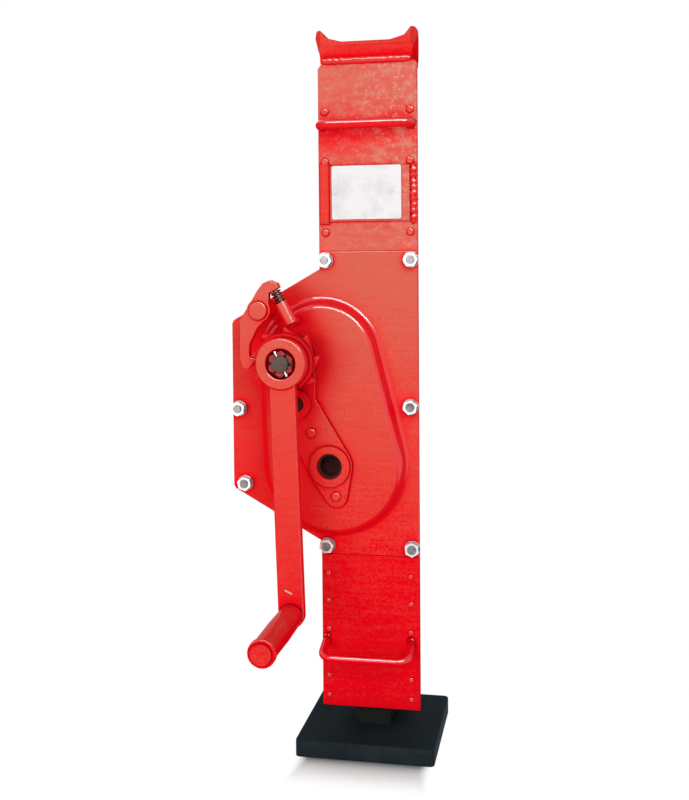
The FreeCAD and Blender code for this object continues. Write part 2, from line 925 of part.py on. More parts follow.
bush(
    "crank_front_bush",
    shafts[0],
    "crank_radius",
    "bush_wall",
    "crown_inside + 1",
    "boss_front",
    "bush_front",
    "crank_radius + bush_wall + 3",
)
collar_names = ["countershaft_front_bush", "output_front_bush"]
collar_bores = ["counter_journal", "output_journal"]
collar_sizes = ["counter_collar", "output_collar"]
for name, spot, bore, collar in zip(collar_names, shafts[1:], collar_bores, collar_sizes):
    bush(
        name,
        spot,
        bore,
        "bush_wall",
        "second_front - 0.5",
        "bearing_front",
        "bearing_front - collar_rise",
        collar,
    )
rear_names = ["crank_rear_bush", "countershaft_rear_bush", "output_rear_bush"]
rear_radii = ["crank_rear_radius", "counter_journal", "output_rear_radius"]
for name, spot, bore in zip(rear_names, shafts, rear_radii):
    bush(name, spot, bore, "3.5", "back_face", "inner_back", "bush_back", f"{bore} + 7")

# studs, washers and nuts of the cover
stud_front = "face - washer_thick - nut_thick - 2"
studs = []
washers = []
nuts = []
for i, (across, up) in enumerate(all_studs):
    studs.append(cylinder(f"stud{i}", across, up, "inner_face + stud_deep", stud_front, "stud_radius"))
    flat = cylinder(f"flat{i}", across, up, "face", "face - washer_thick", "washer_radius")
    bore = cylinder(f"flat_bore{i}", across, up, "face + 1", "face - washer_thick - 1", "stud_radius")
    ring_piece = doc.addObject("Part::Cut", f"washer{i}")
    ring_piece.Base = flat
    ring_piece.Tool = bore
    washers.append(ring_piece)
    six = doc.addObject("Part::Prism", f"six{i}")
    six.Polygon = 6
    six.setExpression("Circumradius", bound("nut_across / sqrt(3)"))
    six.setExpression("Height", bound("nut_thick"))
    spin = FreeCAD.Rotation(FreeCAD.Vector(0, 0, 1), 17 * i)
    six.Placement.Rotation = FreeCAD.Rotation(FreeCAD.Vector(1, 0, 0), 90) * spin
    six.setExpression("Placement.Base.x", bound(across))
    six.setExpression("Placement.Base.y", bound("face - washer_thick"))
    six.setExpression("Placement.Base.z", bound(up))
    bore = cylinder(f"nut_bore{i}", across, up, "face", "face - 20", "stud_radius")
    nut = doc.addObject("Part::Cut", f"nut{i}")
    nut.Base = six
    nut.Tool = bore
    nuts.append(nut)
group("cover_studs", studs)
group("cover_washers", washers)
group("cover_nuts", nuts)


# bent round bar: out from the plate, across and back again, its ends cut flush with the plate
def bent_bar(name, radius, half, shift, out, bend, along, up, droop):
    body = new_body(name)
    path = sketch_on(body, "XY_Plane", up)
    path.AttachmentOffset = FreeCAD.Placement(
        FreeCAD.Vector(0, 0, num(up)), FreeCAD.Rotation(FreeCAD.Vector(1, 0, 0), num(droop))
    )
    path.setExpression("AttachmentOffset.Base.x", bound(shift))
    path.setExpression("AttachmentOffset.Base.y", bound(along))
    path.setExpression("AttachmentOffset.Rotation.Angle", bound(droop))
    reach = num(half)
    deep = num(out)
    turn = num(bend)
    root = f"2 * {radius}"
    spots = [
        FreeCAD.Vector(-reach, num(root), 0),
        FreeCAD.Vector(-reach, turn - deep, 0),
        FreeCAD.Vector(turn - reach, -deep, 0),
        FreeCAD.Vector(reach - turn, -deep, 0),
        FreeCAD.Vector(reach, turn - deep, 0),
        FreeCAD.Vector(reach, num(root), 0),
    ]
    upright = FreeCAD.Vector(0, 0, 1)
    left_bend = Part.Circle(FreeCAD.Vector(turn - reach, turn - deep, 0), upright, turn)
    right_bend = Part.Circle(FreeCAD.Vector(reach - turn, turn - deep, 0), upright, turn)
    path.addGeometry(Part.LineSegment(spots[0], spots[1]))
    path.addGeometry(Part.ArcOfCircle(left_bend, math.pi, 1.5 * math.pi))
    path.addGeometry(Part.LineSegment(spots[2], spots[3]))
    path.addGeometry(Part.ArcOfCircle(right_bend, 1.5 * math.pi, 2 * math.pi))
    path.addGeometry(Part.LineSegment(spots[4], spots[5]))
    path.addConstraint(Sketcher.Constraint("Tangent", 0, 2, 1, 1))
    path.addConstraint(Sketcher.Constraint("Tangent", 1, 2, 2, 1))
    path.addConstraint(Sketcher.Constraint("Tangent", 2, 2, 3, 1))
    path.addConstraint(Sketcher.Constraint("Tangent", 3, 2, 4, 1))
    hold(path, 0, 1, f"-{half}", root)
    hold(path, 4, 2, half, root)
    path.addConstraint(Sketcher.Constraint("Vertical", 0))
    path.addConstraint(Sketcher.Constraint("Horizontal", 2))
    tie(path, Sketcher.Constraint("DistanceY", -1, 1, 2, 1, -deep), f"-{out}")
    tie(path, Sketcher.Constraint("Radius", 1, turn), bend)
    tie(path, Sketcher.Constraint("Radius", 3, turn), bend)
    doc.recompute()
    end = body.newObject("Sketcher::SketchObject", name + "_end")
    end.AttachmentSupport = [(path, "Edge1")]
    end.MapMode = "NormalToEdge"
    doc.recompute()
    middle = end.addGeometry(Part.Circle(FreeCAD.Vector(0, 0, 0), upright, num(radius)))
    end.addConstraint(Sketcher.Constraint("Coincident", middle, 3, -1, 1))
    tie(end, Sketcher.Constraint("Radius", middle, num(radius)), radius)
    bar = body.newObject("PartDesign::AdditivePipe", name + "_bar")
    bar.Profile = end
    bar.Spine = (path, [])
    doc.recompute()
    trim = front_sketch(body, along)
    wide = f"({half} + 2 * {radius})"
    box_outline(trim, f"{shift} - {wide}", f"{shift} + {wide}", f"{up} - 3 * {radius}", f"{up} + 4 * {radius}")
    pocket(body, trim, f"4 * {radius}")


bent_bar(
    "upper_handle",
    "upper_bar",
    "upper_half",
    "upper_shift",
    "upper_out",
    "upper_bend",
    "face",
    "upper_bar_z",
    "0",
)
bent_bar(
    "lower_handle",
    "lower_bar",
    "lower_half",
    "lower_shift",
    "lower_out",
    "lower_bend",
    "face",
    "lower_bar_z",
    "lower_droop",
)

# claw that carries the load on top, with a raised horn at each side
body = new_body("lifting_claw")
horn = [
    ("claw_foot_half", "column_top"),
    ("claw_foot_half + 1", "column_top + 10"),
    ("claw_half", "claw_top - 7"),
    ("claw_half - 1.5", "claw_top"),
    ("claw_half - 1.5 - horn_flat", "claw_top"),
    ("claw_half - 13", "claw_saddle + horn_knee"),
    ("saddle_half", "claw_saddle"),
]
right_horn = [(f"claw_shift + {across}", up) for across, up in horn]
left_horn = [(f"claw_shift - ({across})", up) for across, up in reversed(horn)]
slab(body, right_horn + left_horn, "back_face + claw_lip", "face - claw_lip")
top_place = num("claw_top")
knee_place = num("claw_saddle + horn_knee")
low_place = num("claw_saddle")
rounded(body, "horn_round", lambda edge: runs_along(edge, "Y") and edge.BoundBox.ZMin > top_place - 7.5)
for place, size in ((knee_place, "knee_round"), (low_place, "saddle_round")):
    rounded(body, size, lambda edge: runs_along(edge, "Y") and abs(edge.BoundBox.ZMin - place) < 0.01)
lip_place = num("back_face + claw_lip")
rounded(
    body,
    "claw_round",
    lambda edge: at_depth(edge, lip_place) or at_depth(edge, -lip_place),
)
for way in ("-1", "1"):
    sketch = sketch_on(body, "YZ_Plane", "claw_shift + claw_half + 5")
    outline(
        sketch,
        [
            (f"{way} * (back_face + claw_lip + 1)", "column_top - 1"),
            (f"{way} * (back_face)", "column_top - 1"),
            (f"{way} * (back_face - 1.5)", "column_top + 7"),
            (f"{way} * (back_face + claw_lip - 1)", "column_top + 16"),
            (f"{way} * (back_face + claw_lip + 1)", "column_top + 18"),
        ],
    )
    pocket(body, sketch, "2 * claw_half + 10")

# its ends taper towards the back, with a bevel at the front
claw_deep = "(back_face + claw_lip)"
for way in ("-1", "1"):
    sketch = sketch_on(body, "XY_Plane", "claw_top + 1")
    bevel_end = "claw_half - claw_bevel - claw_bevel / claw_bevel_deep"
    draft_end = f"claw_half - claw_draft - claw_draft / (2 * {claw_deep} - claw_bevel_deep)"
    plan = [
        (bevel_end, f"-{claw_deep} - 1"),
        ("claw_half", f"claw_bevel_deep - {claw_deep}"),
        (draft_end, f"{claw_deep} + 1"),
        ("claw_half + 8", f"{claw_deep} + 1"),
        ("claw_half + 8", f"-{claw_deep} - 1"),
    ]
    outline(sketch, [(f"claw_shift + {way} * ({across})", along) for across, along in plan])
    pocket(body, sketch, "claw_high + 2")

# toe at the foot of the column, behind, with a leg up the back plate
body = new_body("lifting_toe")
sketch = sketch_on(body, "YZ_Plane", "-toe_half")
outline(
    sketch,
    [
        ("back_face", "column_foot"),
        ("toe_reach - 12", "column_foot"),
        ("toe_reach", "column_foot + 15"),
        ("toe_reach", "toe_top - 4"),
        ("toe_reach - 4", "toe_top"),
        ("back_face + 18", "toe_top"),
        ("back_face + 12", "toe_top + 6"),
        ("back_face + 12", "toe_top + 58"),
        ("back_face + 6", "toe_top + 66"),
        ("back_face", "toe_top + 66"),
    ],
)
pad(body, sketch, "2 * toe_half")

# guides for the toothed bar
body = new_body("lower_guide_collar")
collar = [
    ("-inner_half", "column_foot"),
    ("inner_half", "column_foot"),
    ("inner_half", "column_foot + guide_collar_high"),
    ("-inner_half", "column_foot + guide_collar_high"),
]
slab(body, collar, "inner_back", "inner_face")
sketch = sketch_on(body, "XY_Plane", "column_foot + guide_collar_high")
box_outline(
    sketch,
    "rack_tip - guide_gap",
    "rack_tip + rack_width + guide_gap",
    "-rack_depth / 2 - guide_gap",
    "rack_depth / 2 + guide_gap",
)
pocket(body, sketch, "guide_collar_high")

body = new_body("rack_guide_shoe")
shoe = [
    ("rack_tip + rack_width + guide_gap", "shoe_low"),
    ("inner_half", "shoe_low"),
    ("inner_half", "shoe_high"),
    ("rack_tip + rack_width + guide_gap", "shoe_high"),
]
slab(body, shoe, "inner_back", "2 - rack_depth / 2")

# name plate on its holder
body = new_body("plate_holder")
holder = [
    ("holder_shift - holder_wide / 2", "holder_low"),
    ("holder_shift + holder_wide / 2", "holder_low"),
    ("holder_shift + holder_wide / 2", "holder_top"),
    ("holder_shift - holder_wide / 2", "holder_top"),
]
slab(body, holder, "face", "holder_front")
holder_place = num("holder_front")
rounded(body, "plate_edge", lambda edge: at_depth(edge, holder_place))
pin_spots = [
    ("label_shift + pin_inset - label_wide / 2", "label_z"),
    ("label_shift - pin_inset + label_wide / 2", "label_z"),
]
drill(body, holes(pin_spots, "1"), "holder_front", "holder_thick")

body = new_body("nameplate")
label = [
    ("label_shift - label_wide / 2", "label_z - label_high / 2"),
    ("label_shift + label_wide / 2", "label_z - label_high / 2"),
    ("label_shift + label_wide / 2", "label_z + label_high / 2"),
    ("label_shift - label_wide / 2", "label_z + label_high / 2"),
]
slab(body, label, "holder_front", "label_front")
rounded(body, "2", lambda edge: runs_along(edge, "Y"))
drill(body, holes(pin_spots, "1"), "label_front", "label_thick")
rivets("nameplate_pins", pin_spots, "1", "1.8", "0.8", "label_front", "label_thick + holder_thick")

# crankshaft with its pinion, turned in one piece
body = doc.addObject("PartDesign::Body", "crank_blank")
turned(
    body,
    "crank_x",
    "crank_z",
    [
        ("back_face", "0"),
        ("back_face", "crank_rear_radius"),
        ("-first_width / 2 - 2", "crank_rear_radius"),
        ("-first_width / 2 - 2", "crank_radius"),
        ("brake_front", "crank_radius"),
        ("brake_front", "crank_hub_radius"),
        ("recess_floor", "crank_hub_radius"),
        ("recess_floor", "crank_thread_radius"),
        ("hub_front - 1", "crank_thread_radius"),
        ("hub_front - 1", "0"),
    ],
)
to_counter = math.degrees(math.atan2(num("counter_z - crank_z"), num("counter_x - crank_x")))
first_shift = pinion_shift("first_module", first_small_teeth, first_big_teeth, "first_distance")
pinion = teeth(
    "crank_pinion",
    "crank_x",
    "crank_z",
    "first_width / 2 + 1",
    "-first_width / 2 - 2",
    "first_module",
    first_small_teeth,
    first_shift,
    to_counter,
)
split_turn = 117
split_hole = doc.addObject("Part::Cylinder", "split_hole")
split_hole.setExpression("Radius", bound("split_radius"))
split_hole.setExpression("Height", bound("4 * hub_recess_radius"))
split_way = FreeCAD.Rotation(FreeCAD.Vector(0, 1, 0), 90 - split_turn)
split_at = FreeCAD.Vector(num("crank_x"), num("hub_front + 2.6"), num("crank_z"))
split_back = split_way.multVec(FreeCAD.Vector(0, 0, num("2 * hub_recess_radius")))
split_hole.Placement = FreeCAD.Placement(split_at - split_back, split_way)
whole_shaft = doc.addObject("Part::MultiFuse", "crank_whole")
whole_shaft.Shapes = [body, pinion]
cut_from("crankshaft", whole_shaft, split_hole)

body = new_body("brake_flange")
ring(body, "crank_x", "crank_z", "crank_radius", "brake_radius", "brake_back", "brake_front")
body = new_body("friction_disc_rear")
ring(body, "crank_x", "crank_z", "crank_hub_radius", "disc_radius", "brake_front", "brake_front - disc_thick")
body = new_body("friction_disc_front")
ring(body, "crank_x", "crank_z", "wheel_seat", "disc_radius", "press_back + disc_thick", "press_back")

body = new_body("crank_hub")
turned(
    body,
    "crank_x",
    "crank_z",
    [
        ("brake_front - disc_thick", "crank_hub_radius"),
        ("brake_front - disc_thick", "wheel_seat"),
        ("press_back", "wheel_seat"),
        ("press_back", "brake_radius"),
        ("press_front", "brake_radius"),
        ("press_front", "hub_barrel"),
        ("arm_front", "hub_barrel"),
        ("arm_front", "hub_front_radius"),
        ("hub_front", "hub_front_radius"),
        ("hub_front", "hub_recess_radius"),
        ("recess_floor", "hub_recess_radius"),
        ("recess_floor", "crank_hub_radius"),
    ],
)
hub_place = num("hub_front")
rounded(body, "1.5", lambda edge: at_depth(edge, hub_place))

body = new_body("crank_arm")
sketch = front_sketch(body, "arm_back")
hull(sketch, [("grip_x", "grip_z", "arm_width / 2"), ("crank_x", "crank_z", "arm_width / 2")])
pad(body, sketch, "arm_thick")
sketch = front_sketch(body, "arm_back")
circle(sketch, "crank_x", "crank_z", "arm_eye")
pad(body, sketch, "arm_thick")
for place in (num("arm_front"), num("arm_back")):
    rounded(body, "1.5", lambda edge: at_depth(edge, place))
arm_bores = [("crank_x", "crank_z", "hub_barrel"), ("grip_x", "grip_z", "grip_pin")]
drill(body, arm_bores, "arm_front", "arm_thick")

# castle nut and split pin in the recess of the hub
body = new_body("castle_nut")
sketch = front_sketch(body, "recess_floor", "crank_x", "crank_z", str(split_turn))
corner = "nut_flats / sqrt(3)"
outline(sketch, [(f"{corner} * cos({30 + 60 * i})", f"{corner} * sin({30 + 60 * i})") for i in range(6)])
pad(body, sketch, "nut_high")
sketch = front_sketch(body, "recess_floor - nut_high", "crank_x", "crank_z")
circle(sketch, "0", "0", "crank_thread_radius")
pocket(body, sketch, "nut_high")
sketch = front_sketch(body, "recess_floor - nut_high", "crank_x", "crank_z", str(split_turn))
box_outline(sketch, "-nut_flats", "nut_flats", "-slot_wide / 2", "slot_wide / 2")
slot = pocket(body, sketch, "nut_high * 0.5")
spread = body.newObject("PartDesign::PolarPattern", "nut_slots")
spread.Originals = [slot]
spread.Axis = (sketch, ["N_Axis"])
spread.Angle = 360
spread.Occurrences = 6
body.Tip = spread
doc.recompute()

pin = doc.addObject("Part::Cylinder", "split_pin")
pin.Label = "split_pin"
pin.setExpression("Radius", bound("split_radius"))
pin.setExpression("Height", bound("2 * hub_recess_radius - 3"))
pin.Placement = FreeCAD.Placement(
    split_at - split_way.multVec(FreeCAD.Vector(0, 0, num("hub_recess_radius - 1.5"))), split_way
)
nodes["split_pin"] = pin

# grip: a sleeve that turns on a pin riveted into the arm
body = new_body("grip_pin")
turned(
    body,
    "grip_x",
    "grip_z",
    [
        ("arm_back + 3", "0"),
        ("arm_back + 3", "grip_pin"),
        ("arm_back", "grip_pin + 2.5"),
        ("arm_back", "grip_pin"),
        ("grip_seat", "grip_pin"),
        ("grip_seat", "grip_pin_end"),
        ("grip_seat - grip_washer_thick", "grip_pin_end"),
        ("grip_seat - grip_washer_thick", "0"),
    ],
)
body = new_body("grip_end_washer")
ring(
    body,
    "grip_x",
    "grip_z",
    "grip_pin_end",
    "grip_washer",
    "grip_seat",
    "grip_seat - grip_washer_thick",
)
body = new_body("grip_sleeve")
turned(
    body,
    "grip_x",
    "grip_z",
    [
        ("grip_back", "grip_pin + 0.08"),
        ("grip_back", "grip_radius"),
        ("grip_back - grip_length * 0.45", "grip_radius + 0.6"),
        ("grip_front + 1.5 * grip_end_long", "grip_radius"),
        ("grip_front + grip_end_long", "grip_end_radius"),
        ("grip_front", "grip_end_radius"),
        ("grip_front", "grip_pin + 0.08"),
    ],
)
grip_ends = (num("grip_front"), num("grip_back"))
bore_wide = num("2 * grip_pin + 1")


def grip_rim(edge):
    return any(at_depth(edge, place) for place in grip_ends) and edge.BoundBox.ZLength > bore_wide


rounded(body, "1.5", grip_rim)

# ratchet wheel
pitch_angle = 360 / ratchet_teeth


# a spot on the left of the wheel's middle, at an angle below the tooth that the pawl catches
def beside_wheel(radius, angle):
    lean = f"({angle} - hook_rise)"
    return f"-({radius}) * cos({lean})", f"-({radius}) * sin({lean})"


body = new_body("ratchet_wheel")
sketch = front_sketch(body, "wheel_back", "crank_x", "crank_z")
circle(sketch, "0", "0", "wheel_radius")
pad(body, sketch, "wheel_thick")
sketch = front_sketch(body, "wheel_front", "crank_x", "crank_z")
notch_points = [
    ("wheel_root", 1.5),
    ("wheel_radius + 3", 0.2),
    ("wheel_radius + 6", pitch_angle / 2),
    ("wheel_radius + 0.6", pitch_angle - 0.7),
    ("wheel_root", 10.5),
]
outline(sketch, [beside_wheel(radius, angle) for radius, angle in notch_points])
notch = pocket(body, sketch, "wheel_thick")
spread = body.newObject("PartDesign::PolarPattern", "wheel_teeth")
spread.Originals = [notch]
spread.Axis = (sketch, ["N_Axis"])
spread.Angle = 360
spread.Occurrences = ratchet_teeth
body.Tip = spread
doc.recompute()
sketch = front_sketch(body, "wheel_front", "crank_x", "crank_z")
circle(sketch, "0", "0", "wheel_seat + running_gap")
pocket(body, sketch, "wheel_thick")

# hook pawl, hung from its pivot beside the wheel
body = new_body("pawl")
hook = [
    ("wheel_root + 1.2", 2.6),
    ("wheel_radius + 1.2", 1.1),
]
hook_below = [
    ("wheel_radius + 0.5", 17),
    ("wheel_root + 1.2", 6.5),
]


def from_crank(spots):
    return [(f"crank_x + {x}", f"crank_z + {z}") for x, z in (beside_wheel(*spot) for spot in spots)]


shank = [
    ("crank_x - wheel_radius - 1.6", "crank_z + 9"),
    ("crank_x - wheel_radius - 1", "crank_z + 18"),
    ("pawl_x - 1", "pawl_z - 17"),
    ("pawl_x + 9", "pawl_z - 7"),
    ("pawl_x + 10.5", "pawl_z + 3"),
    ("seat_x - 6 * cos(guide_lean)", "seat_z - 6 * sin(guide_lean)"),
    ("seat_x + 6 * cos(guide_lean)", "seat_z + 6 * sin(guide_lean)"),
    ("pawl_x + 20", "pawl_z + 27.5"),
    ("pawl_x + 12.3", "pawl_z + 30.5"),
    ("pawl_x + 5", "pawl_z + 27.5"),
    ("pawl_x - 0.6", "pawl_z + 20.7"),
    ("pawl_x - 9.5", "pawl_z + 6"),
    ("pawl_x - 15", "pawl_z - 2.6"),
    ("pawl_x - 19.4", "pawl_z - 10"),
    ("pawl_x - 19.4", "crank_z + 4"),
    ("pawl_x - 17", "crank_z - 5"),
    ("crank_x - wheel_radius - 3", "crank_z - 7"),
]
slab(body, from_crank(hook) + shank + from_crank(hook_below), "pawl_back", "pawl_front")
pawl_edges = num("pawl_z + 24")
rounded(body, "2.5", lambda edge: runs_along(edge, "Y") and edge.BoundBox.ZMin > pawl_edges)
sketch = front_sketch(body, "pawl_back")
circle(sketch, "pawl_x", "pawl_z", "pawl_boss")
pad(body, sketch, "pawl_thick")
pawl_face = num("pawl_front")
rounded(body, "plate_edge", lambda edge: at_depth(edge, pawl_face))
drill(body, [pawl_spot + ("pivot_radius + running_gap",)], "pawl_front", "pawl_thick")

# pivot bolt with a flat round head, its tail in the rim, and the sleeve behind the pawl
body = new_body("pawl_pivot")
turned(
    body,
    "pawl_x",
    "pawl_z",
    [
        ("inner_face + stud_deep", "0"),
        ("inner_face + stud_deep", "pivot_radius - 1"),
        ("face", "pivot_radius - 1"),
        ("face", "pivot_radius"),
        ("pawl_front - side_gap", "pivot_radius"),
        ("pawl_front - side_gap", "pivot_head"),
        ("pawl_front - side_gap - pivot_head_thick", "pivot_head"),
        ("pawl_front - side_gap - pivot_head_thick", "0"),
    ],
)
head_place = num("pawl_front - side_gap - pivot_head_thick")
rounded(body, "1.5", lambda edge: at_depth(edge, head_place))
body = new_body("pawl_spacer")
ring(body, "pawl_x", "pawl_z", "pivot_radius", "spacer_radius", "face", "pawl_back + side_gap")

# spring guide: a slanted rod on a post, with a thin end that the spring sits around
rod = doc.addObject("PartDesign::Body", "guide_rod")
sketch = front_sketch(rod, "pawl_middle", "guide_x", "guide_z", "guide_lean")
outline(
    sketch,
    [
        ("0", "0"),
        ("guide_radius", "0"),
        ("guide_radius", "guide_length"),
        ("spring_radius - 2 * spring_wire", "guide_length"),
        ("spring_radius - 2 * spring_wire", "guide_length + 4"),
        ("0", "guide_length + 4"),
    ],
)
turn = rod.newObject("PartDesign::Revolution", "guide_turned")
turn.Profile = sketch
turn.ReferenceAxis = (sketch, ["V_Axis"])
doc.recompute()
post = cylinder(
    "guide_post",
    "guide_x - post_set * sin(guide_lean)",
    "guide_z + post_set * cos(guide_lean)",
    "crown",
    "pawl_middle",
    "post_radius",
)
joined("spring_guide", [rod, post])

coil = doc.addObject("Part::Feature", "pawl_spring")
coil.Label = "pawl_spring"
wire_radius = num("spring_wire")
coil_radius = num("spring_radius")
rise = num("spring_length - 2 * spring_wire - 0.3")
helix = Part.makeHelix(rise / 4.5, rise, coil_radius)
start = FreeCAD.Vector(coil_radius, 0, 0)
climb = FreeCAD.Vector(0, 1, rise / 4.5 / 6.3 / coil_radius)
section = Part.Wire(Part.makeCircle(wire_radius, start, climb))
coil.Shape = Part.Wire(helix).makePipeShell([section], True, True)
lay = FreeCAD.Rotation(FreeCAD.Vector(0, 1, 0), -num("guide_lean"))
far = num("guide_length + spring_wire")
coil_x = num("guide_x") - far * math.sin(math.radians(num("guide_lean")))
coil_z = num("guide_z") + far * math.cos(math.radians(num("guide_lean")))
coil.Placement = FreeCAD.Placement(FreeCAD.Vector(coil_x, num("pawl_middle"), coil_z), lay)
nodes["pawl_spring"] = coil

# countershaft: the small pinion is cut on it and the first wheel sits behind
body = doc.addObject("PartDesign::Body", "counter_blank")
turned(
    body,
    "counter_x",
    "counter_z",
    [
        ("back_face", "0"),
        ("back_face", "counter_journal"),
        ("bush_back - 0.3", "counter_journal"),
        ("bush_back - 0.3", "counter_radius"),
        ("second_back", "counter_radius"),
        ("second_back", "counter_journal"),
        ("crown - 1", "counter_journal"),
        ("crown - 1", "0"),
    ],
)
to_output = math.degrees(math.atan2(num("output_z - counter_z"), num("output_x - counter_x")))
second_shift = pinion_shift("second_module", small_teeth, big_teeth, "second_distance")
pinion = teeth(
    "counter_pinion",
    "counter_x",
    "counter_z",
    "second_back",
    "second_front",
    "second_module",
    small_teeth,
    second_shift,
    to_output,
)
joined("countershaft", [body, pinion])
wheel = teeth(
    "counter_wheel",
    "counter_x",
    "counter_z",
    "first_width / 2",
    "-first_width / 2",
    "first_module",
    first_big_teeth,
    0,
    to_counter + 180 + 180 / first_big_teeth,
)
bore = cylinder("counter_bore", "counter_x", "counter_z", "first_width", "-first_width", "counter_radius")
cut_from("countershaft_gear", wheel, bore)

# output shaft: the pinion that climbs the toothed bar, and its large wheel in front
body = doc.addObject("PartDesign::Body", "output_blank")
turned(
    body,
    "output_x",
    "output_z",
    [
        ("back_face", "0"),
        ("back_face", "output_rear_radius"),
        ("rack_depth / 2 - 1", "output_rear_radius"),
        ("1 - rack_depth / 2", "output_rear_radius"),
        ("1 - rack_depth / 2", "output_seat + 2"),
        ("second_back", "output_seat + 2"),
        ("second_back", "output_seat"),
        ("second_front", "output_seat"),
        ("second_front", "output_journal"),
        ("crown - 1", "output_journal"),
        ("crown - 1", "shaft_bore"),
        ("crown - 1 + shaft_bore_deep", "shaft_bore"),
        ("crown - 1 + shaft_bore_deep", "0"),
    ],
)
pinion = teeth(
    "rack_pinion",
    "output_x",
    "output_z",
    "rack_depth / 2 - 1",
    "1 - rack_depth / 2",
    "rack_module",
    rack_pinion_teeth,
    0.3,
    0,
)
joined("output_pinion_shaft", [body, pinion])
wheel = teeth(
    "output_wheel",
    "output_x",
    "output_z",
    "second_back",
    "second_front",
    "second_module",
    big_teeth,
    0,
    to_output + 180 + 180 / big_teeth,
)
bore = cylinder("output_bore", "output_x", "output_z", "second_back + 1", "second_front - 1", "output_seat")
cut_from("output_gear", wheel, bore)

doc.recompute()
for piece in doc.Objects:
    if "Invalid" in piece.State or "Error" in piece.State:
        raise RuntimeError(f"{piece.Label} failed: {piece.State}")
for name, piece in nodes.items():
    shape = piece.Shape
    if shape.isNull() or not shape.isValid() or shape.Volume < 1e-3:
        raise RuntimeError(f"{name} has no valid solid")

os.makedirs("parts", exist_ok=True)
for name, piece in nodes.items():
    piece.Shape.exportStep(f"parts/{name}.step")
    print(name, len(piece.Shape.Solids), round(piece.Shape.Volume / 1000, 2), "cm3")
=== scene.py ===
import math
import random

import bmesh
import bpy
from mathutils import Matrix, Vector


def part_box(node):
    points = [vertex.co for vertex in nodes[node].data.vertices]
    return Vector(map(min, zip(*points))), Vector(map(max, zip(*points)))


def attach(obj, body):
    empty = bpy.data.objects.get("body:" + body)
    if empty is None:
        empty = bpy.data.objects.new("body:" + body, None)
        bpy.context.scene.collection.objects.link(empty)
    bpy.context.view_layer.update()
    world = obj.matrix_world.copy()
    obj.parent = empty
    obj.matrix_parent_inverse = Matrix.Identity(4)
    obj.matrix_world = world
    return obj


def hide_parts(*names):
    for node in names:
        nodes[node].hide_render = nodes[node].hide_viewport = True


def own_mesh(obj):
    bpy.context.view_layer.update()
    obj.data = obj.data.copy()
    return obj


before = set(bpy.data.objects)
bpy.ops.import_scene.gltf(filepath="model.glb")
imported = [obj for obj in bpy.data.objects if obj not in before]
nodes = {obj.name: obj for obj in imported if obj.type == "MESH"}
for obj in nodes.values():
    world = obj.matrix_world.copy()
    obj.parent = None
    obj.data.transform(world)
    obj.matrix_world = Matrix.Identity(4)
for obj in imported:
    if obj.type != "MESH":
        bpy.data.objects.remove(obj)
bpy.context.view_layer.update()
scene = bpy.context.scene
scene.view_settings.view_transform = "Standard"
print("frame loaded:", len(nodes), "nodes")

# camera: a little to the right, about as high as the upper seam
cameraSettings = {
    "place": (0.1933, -1.1166, 0.4889),
    "yaw": -11.29,
    "pitch": 2.39,
    "roll": -0.47,
    "lens": 49.21,
    "sensor": 36,
    "shiftUp": -0.10775,
}


def addCamera(settings):
    yaw = math.radians(settings["yaw"])
    pitch = math.radians(settings["pitch"])
    roll = math.radians(settings["roll"])
    ahead = Vector((math.sin(yaw) * math.cos(pitch), math.cos(yaw) * math.cos(pitch), -math.sin(pitch)))
    right = Vector((math.cos(yaw), -math.sin(yaw), 0))
    right = math.cos(roll) * right + math.sin(roll) * right.cross(ahead)
    up = right.cross(ahead)
    data = bpy.data.cameras.new("photoCamera")
    data.lens = settings["lens"]
    data.sensor_width = settings["sensor"]
    data.shift_y = settings["shiftUp"]
    camera = bpy.data.objects.new("photoCamera", data)
    turn = Matrix((right, up, -ahead)).transposed()
    camera.matrix_world = Matrix.Translation(settings["place"]) @ turn.to_4x4()
    scene.collection.objects.link(camera)
    scene.camera = camera


addCamera(cameraSettings)
print("camera placed")


# node helpers
def newMaterial(name):
    material = bpy.data.materials.new(name)
    material.use_nodes = True
    tree = material.node_tree
    return material, tree, tree.nodes["Principled BSDF"]


def put(tree, kind, inputs=None, **options):
    node = tree.nodes.new(kind)
    for key, value in options.items():
        setattr(node, key, value)
    for key, value in (inputs or {}).items():
        if isinstance(value, bpy.types.NodeSocket):
            tree.links.new(value, node.inputs[key])
        else:
            node.inputs[key].default_value = value
    return node


def sums(tree, operation, first, second=0.0, clamp=False):
    return put(tree, "ShaderNodeMath", {0: first, 1: second}, operation=operation, use_clamp=clamp).outputs[0]


def times(tree, first, *others):
    for other in others:
        first = sums(tree, "MULTIPLY", first, other)
    return first


def blendColours(tree, factor, first, second):
    return put(tree, "ShaderNodeMix", {0: factor, 6: first, 7: second}, data_type="RGBA").outputs[2]


def ramp(tree, value, low, high, toLow=0.0, toHigh=1.0, smooth=True):
    kind = "SMOOTHSTEP" if smooth else "LINEAR"
    inputs = {"Value": value, "From Min": low, "From Max": high, "To Min": toLow, "To Max": toHigh}
    return put(tree, "ShaderNodeMapRange", inputs, interpolation_type=kind).outputs[0]


def split(tree, vector):
    return put(tree, "ShaderNodeSeparateXYZ", {0: vector}).outputs


def objectCoords(tree):
    return put(tree, "ShaderNodeTexCoord").outputs["Object"]


# which way a face looks, in the piece's own frame
def ownFacing(tree):
    return split(tree, put(tree, "ShaderNodeTexCoord").outputs["Normal"])


# stretch: waves per metre along x, y and z; a noise below is a stretch, then detail and roughness
def noiseAt(tree, coords, stretch, detail=3.0, rough=0.55):
    spread = put(tree, "ShaderNodeMapping", {"Vector": coords, "Scale": stretch}).outputs[0]
    inputs = {"Vector": spread, "Scale": 1.0, "Detail": detail, "Roughness": rough}
    return put(tree, "ShaderNodeTexNoise", inputs).outputs["Fac"]


